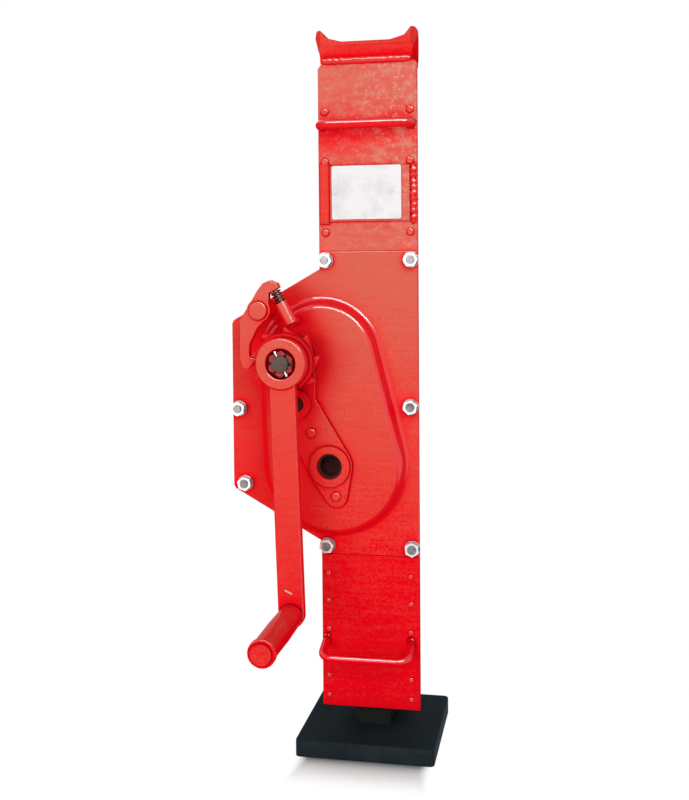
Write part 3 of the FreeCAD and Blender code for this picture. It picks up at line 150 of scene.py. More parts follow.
# how open a spot lies, 0 in a corner and 1 in the clear
def openness(tree, reach, samples=12):
    return put(tree, "ShaderNodeAmbientOcclusion", {"Distance": reach}, samples=samples).outputs["AO"]


def roundEdges(tree, radius):
    return put(tree, "ShaderNodeBevel", {"Radius": radius}, samples=4).outputs[0]


edgeLean = (0.995, 0.86)  # agreement of both normals where an edge starts and where it is full


# 1 along an edge, where the rounded normal leans away from the true one
def alongEdges(tree, rounded):
    facing = put(tree, "ShaderNodeNewGeometry").outputs["Normal"]
    agree = put(tree, "ShaderNodeVectorMath", {0: rounded, 1: facing}, operation="DOT_PRODUCT")
    return ramp(tree, agree.outputs["Value"], *edgeLean)


def addRelief(tree, shader, height, strength, depth, rounded=None):
    inputs = {"Height": height, "Strength": strength, "Distance": depth}
    if rounded is not None:
        inputs["Normal"] = rounded
    tree.links.new(put(tree, "ShaderNodeBump", inputs).outputs[0], shader.inputs["Normal"])


# red paint: deep red under a painted sheen that stands in for reflected light, more of it higher up and on
# open faces that look forward, with painted shade near other pieces, with brush streaks, orange peel, rubbed
# patches, painted shade in crevices and light worn edges that also serve as painted edge highlights
redPaint = {
    "deep": (0.88, 0.002, 0.011, 1),
    "pale": (0.745, 0.138, 0.093, 1),
    "worn": (0.70, 0.300, 0.230, 1),
    "edge": (0.82, 0.300, 0.250, 1),
    "crevice": (0.20, 0.004, 0.008, 1),
    "streakNoise": ((26, 26, 330), 4),
    "grainNoise": ((420, 420, 420), 2),
    "patchNoise": ((17, 17, 21), 5, 0.6),
    "chipGlintNoise": ((160, 160, 160), 4, 0.65),
    "peelNoise": ((90, 90, 140), 3),
    "openRange": (0.66, 0.97),  # openness where the painted sheen starts and where it is full; closer in is painted shade
    "shadedSheenShare": 0.04,
    "caseLeft": (-0.13, -0.04),  # x over which the painted shade at the left of the case gives way to the painted sheen
    "chipGlintRange": (0.40, 0.60),
    "chipGlintOpenRange": (0.70, 0.98),
    "edgeRadius": 0.0011,
    "creviceReach": (0.0045, 8),  # reach and samples of the painted shade in crevices
    "creviceRange": (0.42, 0.80),
    "patchRange": (0.3, 0.7),
    "glossSpread": (-0.07, 0.10),
    "peelDepth": 0.0006,
    "peelGrain": 0.35,
    "coatLean": 0.35,  # share of the right in what counts as looking up
    "coatUp": (0.02, 0.20),
    "coatOffFlat": (0.999, 0.975),
    "coatOffRim": (0.15, 0.55),
    "coatRough": 0.12,
    "coatIor": 1.6,
}

# one finish of it; each finish below changes some of these
plainRed = {
    "sheenByHeight": (0.05, 0.70, 0.08, 0.60),  # painted sheen by height: where it starts and ends, and its share at each
    "streaks": 0.16,
    "grit": 0.2,
    "patches": 0.10,
    "shadeReach": 0.042,  # reach within which other pieces take the painted sheen away, a painted shade
    "turn": (0.78, 0.985),  # how squarely a face looks forward where the painted sheen starts and is full
    "flat": 0.15,  # share of the painted sheen on faces that look aside
    "under": 1.0,  # share of the painted sheen on faces that look down, painted shade underneath
    "lit": (-0.3, 0.6),  # how far up a face looks where that share ends and where it is full
    "leftward": 1.0,  # share of the painted sheen at the left of the case, painted shade there
    "wear": 0.0,
    "edges": 0.4,
    "crevices": 0.85,
    "scratch": None,
    "gloss": 0.40,
    "shine": 0.10,
    "coat": 0.0,
    "rim": 0.1,  # coat left along the sides of a round piece
    "peel": 0.25,
}

# wear of the upper plate: most at the top right, least in the strip under the handle, which is painted deep
# as the handle's shadow, deeper to the left
plateWear = {
    "stripFoot": (0.592, 0.622),
    "stripHead": (0.640, 0.630),
    "stripAcross": (0.040, -0.030, 0.25, 0.95),
    "across": (-0.050, 0.040, 0.35, 1.0),
    "upward": (0.47, 0.60, 0.25, 1.0),
    "inStrip": (0.1, 0.9, 1.0, 0.45),
    "rubNoise": ((70, 70, 130), 7, 0.75),
    "rubRange": (0.44, 0.66),
    "dotNoise": ((300, 300, 300), 2),
    "dotRange": (0.55, 0.68),
    "dots": 0.7,
}

# bright scratch near the foot of the crank arm, from one (x, z) to another
armScratch = {
    "start": (-0.0763, 0.1721),
    "end": (-0.0675, 0.1680),
    "taper": 0.6,
    "width": (0.0010, 0.0005),
    "colour": (0.80, 0.50, 0.44, 1),
}


def rubPlate(tree, coords, place, colour, wear):
    # painted shadow under the upper handle: a deep strip, deeper to the left
    strip = times(
        tree,
        ramp(tree, place[2], *plateWear["stripFoot"]),
        ramp(tree, place[2], *plateWear["stripHead"]),
        ramp(tree, place[0], *plateWear["stripAcross"]),
    )
    colour = blendColours(tree, strip, colour, redPaint["deep"])
    amount = times(
        tree,
        ramp(tree, place[2], *plateWear["upward"]),
        ramp(tree, place[0], *plateWear["across"]),
        ramp(tree, strip, *plateWear["inStrip"]),
    )
    rub = noiseAt(tree, coords, *plateWear["rubNoise"])
    rubbed = times(tree, ramp(tree, rub, *plateWear["rubRange"]), amount, wear)
    colour = blendColours(tree, rubbed, colour, redPaint["worn"])
    dots = noiseAt(tree, coords, *plateWear["dotNoise"])
    spotted = times(tree, ramp(tree, dots, *plateWear["dotRange"]), amount, plateWear["dots"])
    return blendColours(tree, spotted, colour, redPaint["edge"])


def scratchPaint(tree, coords, colour, scratch):
    startX, startZ = scratch["start"]
    endX, endZ = scratch["end"]
    half = math.hypot(endX - startX, endZ - startZ) / 2
    slope = math.atan2(endZ - startZ, endX - startX)
    middle = ((startX + endX) / 2, 0, (startZ + endZ) / 2)
    turned = put(
        tree,
        "ShaderNodeMapping",
        {"Vector": coords, "Location": middle, "Rotation": (0, -slope, 0)},
        vector_type="TEXTURE",
    )
    within = split(tree, turned.outputs[0])
    lengthwise = ramp(tree, sums(tree, "ABSOLUTE", within[0]), half, half * scratch["taper"])
    crosswise = ramp(tree, sums(tree, "ABSOLUTE", within[2]), *scratch["width"])
    return blendColours(tree, times(tree, lengthwise, crosswise), colour, scratch["colour"])


def paintRed(name, changes):
    look = {**plainRed, **changes}
    material, tree, shader = newMaterial(name)
    coords = objectCoords(tree)
    place = split(tree, coords)
    toward = ownFacing(tree)
    forward = sums(tree, "ABSOLUTE", toward[1])
    rounded = roundEdges(tree, redPaint["edgeRadius"])
    inOpen = openness(tree, look["shadeReach"])
    streak = noiseAt(tree, coords, *redPaint["streakNoise"])
    grain = noiseAt(tree, coords, *redPaint["grainNoise"])
    patch = noiseAt(tree, coords, *redPaint["patchNoise"])

    # painted sheen standing in for reflected light: more of it higher up, broken by streaks, grit and patches
    # of random tone
    pale = ramp(tree, place[2], *look["sheenByHeight"], smooth=False)
    for noise, share in ((streak, look["streaks"]), (grain, look["grit"]), (patch, look["patches"])):
        pale = sums(tree, "ADD", pale, times(tree, sums(tree, "SUBTRACT", noise, 0.5), share))
    pale = sums(tree, "ADD", pale, clamp=True)
    # painted shade: less sheen on faces that turn from the front and little where other pieces are close
    pale = times(
        tree,
        pale,
        ramp(tree, forward, *look["turn"], look["flat"], 1.0),
        ramp(tree, inOpen, *redPaint["openRange"], redPaint["shadedSheenShare"], 1.0),
    )
    # painted shade on faces that look down and at the left of the case
    if look["under"] < 1:
        pale = times(tree, pale, ramp(tree, toward[2], *look["lit"], look["under"], 1.0))
    if look["leftward"] < 1:
        pale = times(tree, pale, ramp(tree, place[0], *redPaint["caseLeft"], look["leftward"], 1.0))
    colour = blendColours(tree, pale, redPaint["deep"], redPaint["pale"])

    if look["wear"]:
        colour = rubPlate(tree, coords, place, colour, look["wear"])
    # light worn edges, chipped by noise, which also serve as a painted edge highlight
    chipGlints = noiseAt(tree, coords, *redPaint["chipGlintNoise"])
    chipGlintMix = times(
        tree,
        alongEdges(tree, rounded),
        ramp(tree, chipGlints, *redPaint["chipGlintRange"]),
        ramp(tree, inOpen, *redPaint["chipGlintOpenRange"]),
        look["edges"],
    )
    colour = blendColours(tree, chipGlintMix, colour, redPaint["edge"])
    if look["scratch"]:
        colour = scratchPaint(tree, coords, colour, look["scratch"])
    # painted shade: dark red in crevices, seams and round rivets
    tight = openness(tree, *redPaint["creviceReach"])
    creviceShadeMix = ramp(tree, tight, *redPaint["creviceRange"], look["crevices"], 0.0)
    colour = blendColours(tree, creviceShadeMix, colour, redPaint["crevice"])
    tree.links.new(colour, shader.inputs["Base Color"])

    glossLow, glossHigh = (look["gloss"] + step for step in redPaint["glossSpread"])
    rough = ramp(tree, patch, *redPaint["patchRange"], glossLow, glossHigh)
    tree.links.new(rough, shader.inputs["Roughness"])
    shader.inputs["Specular IOR Level"].default_value = look["shine"]
    if look["coat"]:
        upward = sums(tree, "ADD", toward[2], times(tree, toward[0], redPaint["coatLean"]))
        coated = times(
            tree,
            ramp(tree, upward, *redPaint["coatUp"]),
            ramp(tree, forward, *redPaint["coatOffFlat"]),
            ramp(tree, forward, *redPaint["coatOffRim"], look["rim"], look["coat"]),
        )
        tree.links.new(coated, shader.inputs["Coat Weight"])
    shader.inputs["Coat Roughness"].default_value = redPaint["coatRough"]
    shader.inputs["Coat IOR"].default_value = redPaint["coatIor"]
    lumps = noiseAt(tree, coords, *redPaint["peelNoise"])
    height = sums(tree, "ADD", times(tree, grain, redPaint["peelGrain"]), lumps)
    addRelief(tree, shader, height, look["peel"], redPaint["peelDepth"], rounded)
    return material


redLooks = {
    "redUpperPlate": {
        "sheenByHeight": (0.45, 0.70, 0.94, 0.98), "streaks": 0.55, "grit": 0.5, "patches": 0.34,
        "wear": 0.82, "shine": 0.04, "peel": 0.40,
    },
    "redCover": {
        "sheenByHeight": (0.18, 0.49, 0.10, 1.06), "streaks": 0.55, "grit": 0.75, "patches": 0.20,
        "shadeReach": 0.045, "turn": (0.93, 0.999), "leftward": 0.55, "edges": 0.15, "shine": 0.0, "coat": 1.0,
    },
    "redLowerPlate": {
        "sheenByHeight": (0.03, 0.20, 0.00, 0.07), "streaks": 0.30, "grit": 0.45, "patches": 0.12,
        "edges": 0.2, "shine": 0.0,
    },
    "redCrank": {
        "sheenByHeight": (0.14, 0.46, 0.18, 0.64), "streaks": 0.30, "grit": 0.5, "patches": 0.24,
        "flat": 0.25, "edges": 0.5, "scratch": armScratch, "shine": 0.0, "coat": 0.9,
    },
    "redHub": {
        "sheenByHeight": (0.38, 0.47, 0.72, 0.88), "streaks": 0.30, "grit": 0.5, "patches": 0.40,
        "flat": 0.25, "edges": 0.5, "shine": 0.0, "coat": 0.9,
    },
    "redClaw": {
        "sheenByHeight": (0.700, 0.726, 0.04, 0.55), "streaks": 0.40, "grit": 0.6, "patches": 0.60,
        "turn": (0.45, 0.80), "edges": 0.06, "crevices": 0.1, "shine": 0.0, "peel": 0.45,
    },
    "redBars": {
        "sheenByHeight": (0.10, 0.66, 0.00, 0.14), "streaks": 0.06, "patches": 0.12,
        "flat": 0.6, "edges": 0.0, "gloss": 0.30, "shine": 0.0, "coat": 1.0,
    },
    # painted highlight: only the forward-looking tops of the rivet domes get the sheen, a pale spot in a deep
    # ring
    "redRivets": {
        "sheenByHeight": (0.20, 0.62, 0.50, 1.0), "streaks": 0.05, "grit": 0.1, "patches": 0.10,
        "turn": (0.90, 0.985), "flat": 0.0, "edges": 0.0, "shine": 0.0, "coat": 1.0,
    },
    "redWelds": {
        "sheenByHeight": (0.45, 0.70, 0.35, 0.40), "streaks": 0.10, "patches": 0.40,
        "flat": 0.5, "edges": 0.0, "crevices": 0.35, "gloss": 0.24, "shine": 0.0, "coat": 0.6, "peel": 0.5,
    },
    "redFiller": {
        "sheenByHeight": (0.45, 0.70, 0.42, 0.46), "streaks": 0.40, "grit": 0.4, "patches": 0.40,
        "flat": 0.8, "edges": 0.0, "crevices": 0.35, "shine": 0.0,
    },
    # painted light and shade: the grip's top is paler, its underside deep
    "redGrip": {
        "sheenByHeight": (0.10, 0.17, 0.28, 0.34), "streaks": 0.20, "grit": 0.5, "patches": 0.90,
        "flat": 0.85, "under": 0.0, "lit": (0.1, 0.85), "edges": 0.5, "shine": 0.0, "coat": 0.6, "rim": 0.2,
    },
    "redBack": {"streaks": 0.18, "patches": 0.16, "flat": 0.5, "shine": 0.0},
}

# black paint of the foot, a little grey along its worn parts, which also serves as a painted edge highlight
blackPaint = {
    "dark": (0.015, 0.023, 0.027, 1),
    "light": (0.023, 0.032, 0.035, 1),
    "onTop": (0.003, 0.014, 0.021, 1),
    "stain": (0.026, 0.024, 0.014, 1),
    "speck": (0.05, 0.055, 0.055, 1),
    "scuffHighlight": (0.075, 0.085, 0.085, 1),
    "cloudNoise": ((28, 28, 40), 5, 0.6),
    "speckNoise": ((420, 420, 420), 2),
    "cloudRange": (0.35, 0.7),
    "upRange": (0.5, 0.9),  # how squarely a face looks up where the top's tone starts and is full
    "topShare": 0.55,
    "stainRange": (0.50, 0.66),
    "stainShare": 0.22,
    "speckRange": (0.64, 0.72, 0, 0.55),
    "scuffHighlightRange": (0.36, 0.60),
    "scuffHighlightShare": 0.6,
    "roughness": (0.3, 0.7, 0.50, 0.70),
    "edgeRadius": 0.0016,
    "shine": 0.01,
    "cloudRelief": 2.0,
    "relief": 0.4,
    "reliefDepth": 0.0005,
}


def paintBlack(name, look):
    material, tree, shader = newMaterial(name)
    coords = objectCoords(tree)
    rounded = roundEdges(tree, look["edgeRadius"])
    upward = ownFacing(tree)[2]
    cloud = noiseAt(tree, coords, *look["cloudNoise"])
    specks = noiseAt(tree, coords, *look["speckNoise"])
    colour = blendColours(tree, ramp(tree, cloud, *look["cloudRange"]), look["dark"], look["light"])
    onTop = ramp(tree, upward, *look["upRange"], 0.0, look["topShare"])
    colour = blendColours(tree, onTop, colour, look["onTop"])
    stainTop = ramp(tree, upward, *look["upRange"], 0.0, look["stainShare"])
    stained = times(tree, ramp(tree, cloud, *look["stainRange"]), stainTop)
    colour = blendColours(tree, stained, colour, look["stain"])
    colour = blendColours(tree, ramp(tree, specks, *look["speckRange"]), colour, look["speck"])
    # grey worn edges, which also serve as a painted edge highlight
    scuffHighlightMix = times(
        tree, alongEdges(tree, rounded), ramp(tree, specks, *look["scuffHighlightRange"]), look["scuffHighlightShare"]
    )
    colour = blendColours(tree, scuffHighlightMix, colour, look["scuffHighlight"])
    tree.links.new(colour, shader.inputs["Base Color"])
    tree.links.new(ramp(tree, cloud, *look["roughness"]), shader.inputs["Roughness"])
    shader.inputs["Specular IOR Level"].default_value = look["shine"]
    height = sums(tree, "ADD", specks, times(tree, cloud, look["cloudRelief"]))
    addRelief(tree, shader, height, look["relief"], look["reliefDepth"], rounded)
    return material


# bare metals, the name plate's sheet and the brake lining
plainMetal = {
    "relief": 0.15,
    "reliefDepth": 0.0003,
    "metal": 1.0,
    "shine": 0.5,
    "cornerShade": 0.0,  # share of painted shade in corners
    "cornerShadeColour": (0.045, 0.022, 0.020, 1),
    "cornerShadeReach": 0.006,
    "cornerShadeRange": (0.50, 0.93),
    "stainNoise": ((45, 45, 45), 5, 0.65),
    "stainRange": (0.42, 0.72),
    "lineRange": (0.25, 0.75),
    "roughSpread": (-0.08, 0.12),
}


def bareMetal(name, changes):
    look = {**plainMetal, **changes}
    material, tree, shader = newMaterial(name)
    coords = objectCoords(tree)
    lines = noiseAt(tree, coords, look["stretch"])
    stains = noiseAt(tree, coords, *look["stainNoise"])
    colour = blendColours(tree, ramp(tree, stains, *look["stainRange"]), look["colour"], look["dark"])
    # painted shade: darker where the piece is closed in, round nuts and studs and in recesses
    if look["cornerShade"]:
        cornerShadeMix = ramp(tree, openness(tree, look["cornerShadeReach"]), *look["cornerShadeRange"], look["cornerShade"], 0.0)
        colour = blendColours(tree, cornerShadeMix, colour, look["cornerShadeColour"])
    tree.links.new(colour, shader.inputs["Base Color"])
    roughLow, roughHigh = (look["rough"] + step for step in look["roughSpread"])
    tree.links.new(ramp(tree, lines, *look["lineRange"], roughLow, roughHigh), shader.inputs["Roughness"])
    shader.inputs["Metallic"].default_value = look["metal"]
    shader.inputs["Specular IOR Level"].default_value = look["shine"]
    addRelief(tree, shader, lines, look["relief"], look["reliefDepth"])
    return material


metalLooks = {
    "machinedSteel": {
        "colour": (0.24, 0.23, 0.23, 1), "dark": (0.06, 0.055, 0.05, 1), "rough": 0.30,
        "stretch": (260, 260, 260), "relief": 0.7, "cornerShade": 0.9,
    },
    "greasedSteel": {
        "colour": (0.012, 0.014, 0.013, 1), "dark": (0.005, 0.006, 0.006, 1), "rough": 0.55,
        "stretch": (60, 60, 420), "metal": 0.0, "shine": 0.06,
    },
    "oiledShaft": {
        "colour": (0.060, 0.012, 0.010, 1), "dark": (0.022, 0.007, 0.006, 1), "rough": 0.50,
        "stretch": (300, 300, 300), "relief": 0.3, "metal": 0.2, "shine": 0.1,
    },
    "paintedNut": {
        "colour": (0.42, 0.022, 0.020, 1), "dark": (0.12, 0.016, 0.012, 1), "rough": 0.40,
        "stretch": (300, 300, 300), "relief": 0.4, "metal": 0.0, "cornerShade": 0.8, "shine": 0.2,
    },
    "oiledSteel": {
        "colour": (0.060, 0.042, 0.034, 1), "dark": (0.020, 0.013, 0.010, 1), "rough": 0.36,
        "stretch": (300, 300, 300), "relief": 0.3,
    },
    "zincPlate": {
        "colour": (0.82, 0.80, 0.80, 1), "dark": (0.60, 0.57, 0.57, 1), "rough": 0.30,
        "stretch": (350, 350, 350), "cornerShade": 0.9,
    },
    "bearingBronze": {
        "colour": (0.55, 0.36, 0.16, 1), "dark": (0.34, 0.20, 0.09, 1), "rough": 0.34,
        "stretch": (300, 80, 300),
    },
    "bareSheet": {
        "colour": (0.82, 0.80, 0.80, 1), "dark": (0.66, 0.64, 0.66, 1), "rough": 0.50,
        "stretch": (30, 30, 700), "relief": 0.10, "metal": 0.0,
    },
    "brakeLining": {
        "colour": (0.10, 0.07, 0.05, 1), "dark": (0.05, 0.036, 0.03, 1), "rough": 0.75,
        "stretch": (500, 500, 500), "relief": 0.5, "metal": 0.0,
    },
}

finishes = {name: paintRed(name, look) for name, look in redLooks.items()}
finishes["blackFoot"] = paintBlack("blackFoot", blackPaint)
finishes.update({name: bareMetal(name, look) for name, look in metalLooks.items()})
print("finishes made:", len(finishes))

# which CAD nodes wear each finish
wornBy = {
    "redUpperPlate": ["upper_front_plate", "plate_holder"],
    "redCover": ["gear_cover", "bearing_plate", "output_front_bush", "countershaft_front_bush"],
    "redLowerPlate": ["lower_front_plate", "left_side_bar_lower"],
    "redRivets": ["upper_rivets", "lower_rivets", "bearing_plate_rivets"],
    "redBack": ["back_plate", "lifting_toe", "case_rim", "left_side_bar_upper", "right_side_bar"],
    "redClaw": ["lifting_claw"],
    "redBars": ["upper_handle", "lower_handle"],
    "redCrank": ["crank_arm", "grip_end_washer", "grip_pin"],
    "redHub": ["crank_hub", "pawl", "pawl_pivot", "pawl_spacer", "spring_guide", "ratchet_wheel"],
    "redGrip": ["grip_sleeve"],
    "blackFoot": ["base_plate"],
    "greasedSteel": ["rack", "countershaft_gear", "output_gear"],
    "oiledShaft": ["countershaft", "output_pinion_shaft"],
    "paintedNut": ["castle_nut"],
    "machinedSteel": ["cover_studs"],
    "oiledSteel": ["crankshaft", "brake_flange", "lower_guide_collar", "rack_guide_shoe", "pawl_spring"],
    "zincPlate": ["cover_nuts", "cover_washers", "split_pin"],
    "bearingBronze": ["crank_front_bush", "crank_rear_bush", "countershaft_rear_bush", "output_rear_bush"],
    "bareSheet": ["nameplate", "nameplate_pins"],
    "brakeLining": ["friction_disc_rear", "friction_disc_front"],
}
for finish, names in wornBy.items():
    for name in names:
        nodes[name].data.materials.clear()
        nodes[name].data.materials.append(finishes[finish])
print("finishes on:", sum(len(names) for names in wornBy.values()), "nodes")


# pieces
sharpAngle = 40  # edges that turn more than this stay crisp


# operators leave corners and faces in a chance order; by position it is the same every run
def settleOrder(bm):
    for place, vert in enumerate(sorted(bm.verts, key=lambda vert: vert.co[:])):
        vert.index = place
    bm.verts.sort()
    for place, face in enumerate(sorted(bm.faces, key=lambda face: face.calc_center_median()[:])):
        face.index = place
    bm.faces.sort()


def finishPiece(name, bm, body, finish, replaced=()):
    bmesh.ops.remove_doubles(bm, verts=bm.verts, dist=1e-6)
    bmesh.ops.recalc_face_normals(bm, faces=bm.faces)
    settleOrder(bm)
    mesh = bpy.data.meshes.new(name)
    bm.to_mesh(mesh)
    bm.free()
    mesh.shade_smooth()
    mesh.set_sharp_from_angle(angle=math.radians(sharpAngle))
    mesh.materials.append(finishes[finish])
    piece = bpy.data.objects.new(name, mesh)
    scene.collection.objects.link(piece)
    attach(piece, body)
    if replaced:
        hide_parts(*replaced)
    return piece


# weld bead: its section, and how its size runs from the start over the pools to the end
beadShape = {
    "sides": 12,
    "stepsPerPool": 4,
    "startSize": 0.35,
    "shoulderSize": 0.75,
    "endShare": 0.4,
    "swell": 0.16,
    "lumps": (0.6, 1.7),
    "jitter": 0.10,
    "wander": 0.05,
}


# edges of these corners, each once
def edgesOf(verts):
    return list(dict.fromkeys(edge for vert in verts for edge in vert.link_edges))


def growRing(bm, ring):
    grown = bmesh.ops.extrude_edge_only(bm, edges=ring)["geom"]
    verts = [item for item in grown if isinstance(item, bmesh.types.BMVert)]
    edges = [item for item in grown if isinstance(item, bmesh.types.BMEdge)]
    return verts, [edge for edge in edges if all(vert in verts for vert in edge.verts)]


# a half-sunk round bead dragged from start to end, swelling at each pool of weld
def dragBead(bm, start, end, away, seed, bead):
    dice = random.Random(seed)
    wide, ripple = bead["wide"], bead["ripple"]
    perPool, jitter = beadShape["stepsPerPool"], beadShape["jitter"]
    start, end = Vector(start), Vector(end)
    along = end - start
    away = Vector(away).normalized()
    forward = along.normalized()
    side = forward.cross(away)
    pools = max(2, round(along.length / (wide * bead["pitch"])))
    steps = pools * perPool
    section = bmesh.ops.create_circle(bm, segments=beadShape["sides"], radius=1.0)["verts"]
    sectionTurn = Matrix((side * wide / 2, away * bead["high"], forward)).transposed().to_4x4()
    bmesh.ops.transform(bm, matrix=Matrix.Translation(start) @ sectionTurn, verts=section)
    ring = edgesOf(section)
    bmesh.ops.contextual_create(bm, geom=ring)
    size = beadShape["startSize"]
    bmesh.ops.scale(bm, vec=(size,) * 3, space=Matrix.Translation(-start), verts=section)
    middle = start
    lump = 1.0
    for step in range(steps + 1):
        verts, ring = growRing(bm, ring)
        wobble = side * dice.uniform(-1, 1) * wide * beadShape["wander"] * ripple
        goal = start + along * (step + 0.5) / (steps + 1) + wobble
        bmesh.ops.translate(bm, vec=goal - middle, verts=verts)
        middle = goal
        if step % perPool == perPool // 2:
            lump = dice.uniform(*beadShape["lumps"])
        wave = math.cos(step * math.tau / perPool)
        nextSize = 1 + ripple * (beadShape["swell"] * lump * wave + dice.uniform(-jitter, jitter))
        if step in (0, steps):
            nextSize = beadShape["shoulderSize"]
        bmesh.ops.scale(bm, vec=(nextSize / size,) * 3, space=Matrix.Translation(-middle), verts=verts)
        size = nextSize
    verts, ring = growRing(bm, ring)
    bmesh.ops.translate(bm, vec=end - middle, verts=verts)
    bmesh.ops.scale(bm, vec=(beadShape["endShare"],) * 3, space=Matrix.Translation(-end), verts=verts)
    bmesh.ops.contextual_create(bm, geom=ring)


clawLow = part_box("lifting_claw")[0]
plateLow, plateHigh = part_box("upper_front_plate")
holderLow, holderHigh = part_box("plate_holder")
toeLow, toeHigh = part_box("lifting_toe")
legLow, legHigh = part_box("lower_handle")

# welds that hold the claw on the column, in front and behind
clawWelds = {
    "wide": 0.0074,
    "high": 0.0028,
    "ripple": 0.55,
    "pitch": 0.95,
    "left": -0.0465,
    "right": 0.0450,
    "back": 0.036,
    "rise": 0.0022,
    "tilt": 0.25,
}
bm = bmesh.new()
seamZ = clawLow.z + clawWelds["rise"]
for startX, endX, faceY, outward, seed in (
    (clawWelds["left"], clawWelds["right"], plateLow.y, -1, 3),
    (clawWelds["back"], -clawWelds["back"], -plateLow.y, 1, 4),
):
    away = (0, outward, clawWelds["tilt"])
    dragBead(bm, (startX, faceY, seamZ), (endX, faceY, seamZ), away, seed, clawWelds)
finishPiece("claw_welds", bm, "column", "redWelds")

# weld on the right of the plate holder
holderWeld = {"wide": 0.0074, "high": 0.0028, "ripple": 1.15, "pitch": 0.80, "below": 0.003, "above": 0.002}
bm = bmesh.new()
seamX = (holderHigh.x + plateHigh.x) / 2
weldFoot = (seamX, plateLow.y, holderLow.z - holderWeld["below"])
weldHead = (seamX, plateLow.y, holderHigh.z + holderWeld["above"])
dragBead(bm, weldFoot, weldHead, (0, -1, 0), 11, holderWeld)
finishPiece("holder_weld", bm, "column", "redWelds")

# smooth filled strip on the left of the plate holder
stripSettings = {"left": -0.0492, "right": -0.0385, "high": 0.0030, "soft": 0.0029, "longer": 0.006}
bm = bmesh.new()
bmesh.ops.create_cube(bm, size=1.0)
stripWide = stripSettings["right"] - stripSettings["left"]
stripTall = holderHigh.z - holderLow.z + stripSettings["longer"]
bmesh.ops.scale(bm, vec=(stripWide, 2 * stripSettings["high"], stripTall), verts=bm.verts)
frontEdges = [edge for edge in bm.edges if max(vert.co.y for vert in edge.verts) < 0]
bmesh.ops.bevel(
    bm, geom=frontEdges, offset=stripSettings["soft"], affect="EDGES", segments=4, profile=0.5, material=-1
)
stripX = (stripSettings["left"] + stripSettings["right"]) / 2
stripZ = (holderHigh.z + holderLow.z) / 2
bmesh.ops.translate(bm, vec=(stripX, plateLow.y, stripZ), verts=bm.verts)
finishPiece("holder_strip", bm, "column", "redFiller")

# welds down both sides of the toe, behind
toeWelds = {"wide": 0.0080, "high": 0.0045, "ripple": 0.9, "pitch": 0.42, "above": 0.002, "below": 0.004}
bm = bmesh.new()
for side, seed in ((-1, 19), (1, 21)):
    weldFoot = (side * toeHigh.x, toeLow.y, toeLow.z + toeWelds["above"])
    weldHead = (side * toeHigh.x, toeLow.y, toeHigh.z - toeWelds["below"])
    dragBead(bm, weldFoot, weldHead, (side, 1, 0), seed, toeWelds)
finishPiece("toe_welds", bm, "column", "redBack")

# short welds above and below each leg of the lower handle, where it meets the plate
legWelds = {
    "wide": 0.0050,
    "high": 0.0030,
    "ripple": 0.9,
    "pitch": 0.42,
    "long": 0.0075,
    "inset": 0.0040,
    "drops": (0.0, 0.0082),
}
bm = bmesh.new()
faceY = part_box("lower_front_plate")[0].y
halfLong = Vector((legWelds["long"] / 2, 0, 0))
for legX, seeds in ((legLow.x + legWelds["inset"], (31, 41)), (legHigh.x - legWelds["inset"], (32, 42))):
    for drop, seed in zip(legWelds["drops"], seeds):
        spot = Vector((legX, faceY, legHigh.z - drop))
        dragBead(bm, spot - halfLong, spot + halfLong, (0, -1, 0), seed, legWelds)
finishPiece("handle_leg_welds", bm, "column", "redWelds")
print("welds laid")

# pawl spring: close end turns, open turns between, drawn along the guide rod
springSettings = {
    "guideFoot": (-0.0705, -0.06275, 0.4345),
    "lean": 27.5,
    "up": 0.0232,
    "coil": 0.0046,
    "wire": 0.0009,
    "wireSides": 10,
    "length": 0.0136,
    "turns": 4.5,
    "stepsPerTurn": 28,
    "closePitch": 1.05,
}
guideTurn = Matrix.Rotation(-math.radians(springSettings["lean"]), 3, "Y")
guideAxis = guideTurn @ Vector((0, 0, 1))
springFoot = Vector(springSettings["guideFoot"]) + guideAxis * springSettings["up"]
wireRadius = springSettings["wire"]
bm = bmesh.new()
wire = bmesh.ops.create_circle(bm, segments=springSettings["wireSides"], radius=wireRadius)["verts"]
bmesh.ops.rotate(bm, cent=(0, 0, 0), matrix=Matrix.Rotation(math.radians(90), 3, "X"), verts=wire)
bmesh.ops.translate(bm, vec=(springSettings["coil"], 0, wireRadius), verts=wire)
ends = edgesOf(wire)
bmesh.ops.contextual_create(bm, geom=ends)
closeRise = 2 * wireRadius * springSettings["closePitch"]
openRise = springSettings["length"] - 2 * wireRadius - 2 * closeRise
for turns, rise in ((1, closeRise), (springSettings["turns"] - 2, openRise), (1, closeRise)):
    steps = round(springSettings["stepsPerTurn"] * turns)
    wound = bmesh.ops.spin(
        bm,
        geom=ends,
        cent=(0, 0, 0),
        axis=(0, 0, 1),
        dvec=(0, 0, rise / steps),
        angle=math.radians(360 * turns),
        steps=steps,
        use_duplicate=False,
    )
    ends = [item for item in wound["geom_last"] if isinstance(item, bmesh.types.BMEdge)]
bmesh.ops.contextual_create(bm, geom=ends)
bmesh.ops.transform(bm, matrix=Matrix.Translation(springFoot) @ guideTurn.to_4x4(), verts=bm.verts)
spring = finishPiece("pawl_spring_coil", bm, "column", "oiledSteel", ["pawl_spring"])
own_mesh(spring)

# rod that carries the spring up to the pawl
coreSettings = {"radius": 0.0034, "length": 0.0132, "sides": 24}
bm = bmesh.new()
bmesh.ops.create_cone(
    bm,
    cap_ends=True,
    segments=coreSettings["sides"],
    radius1=coreSettings["radius"],
    radius2=coreSettings["radius"],
    depth=coreSettings["length"],
)
coreMiddle = springFoot + guideAxis * (coreSettings["length"] / 2)
bmesh.ops.transform(bm, matrix=Matrix.Translation(coreMiddle) @ guideTurn.to_4x4(), verts=bm.verts)
core = finishPiece("spring_core", bm, "column", "redBars")
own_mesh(core)
print("spring wound")

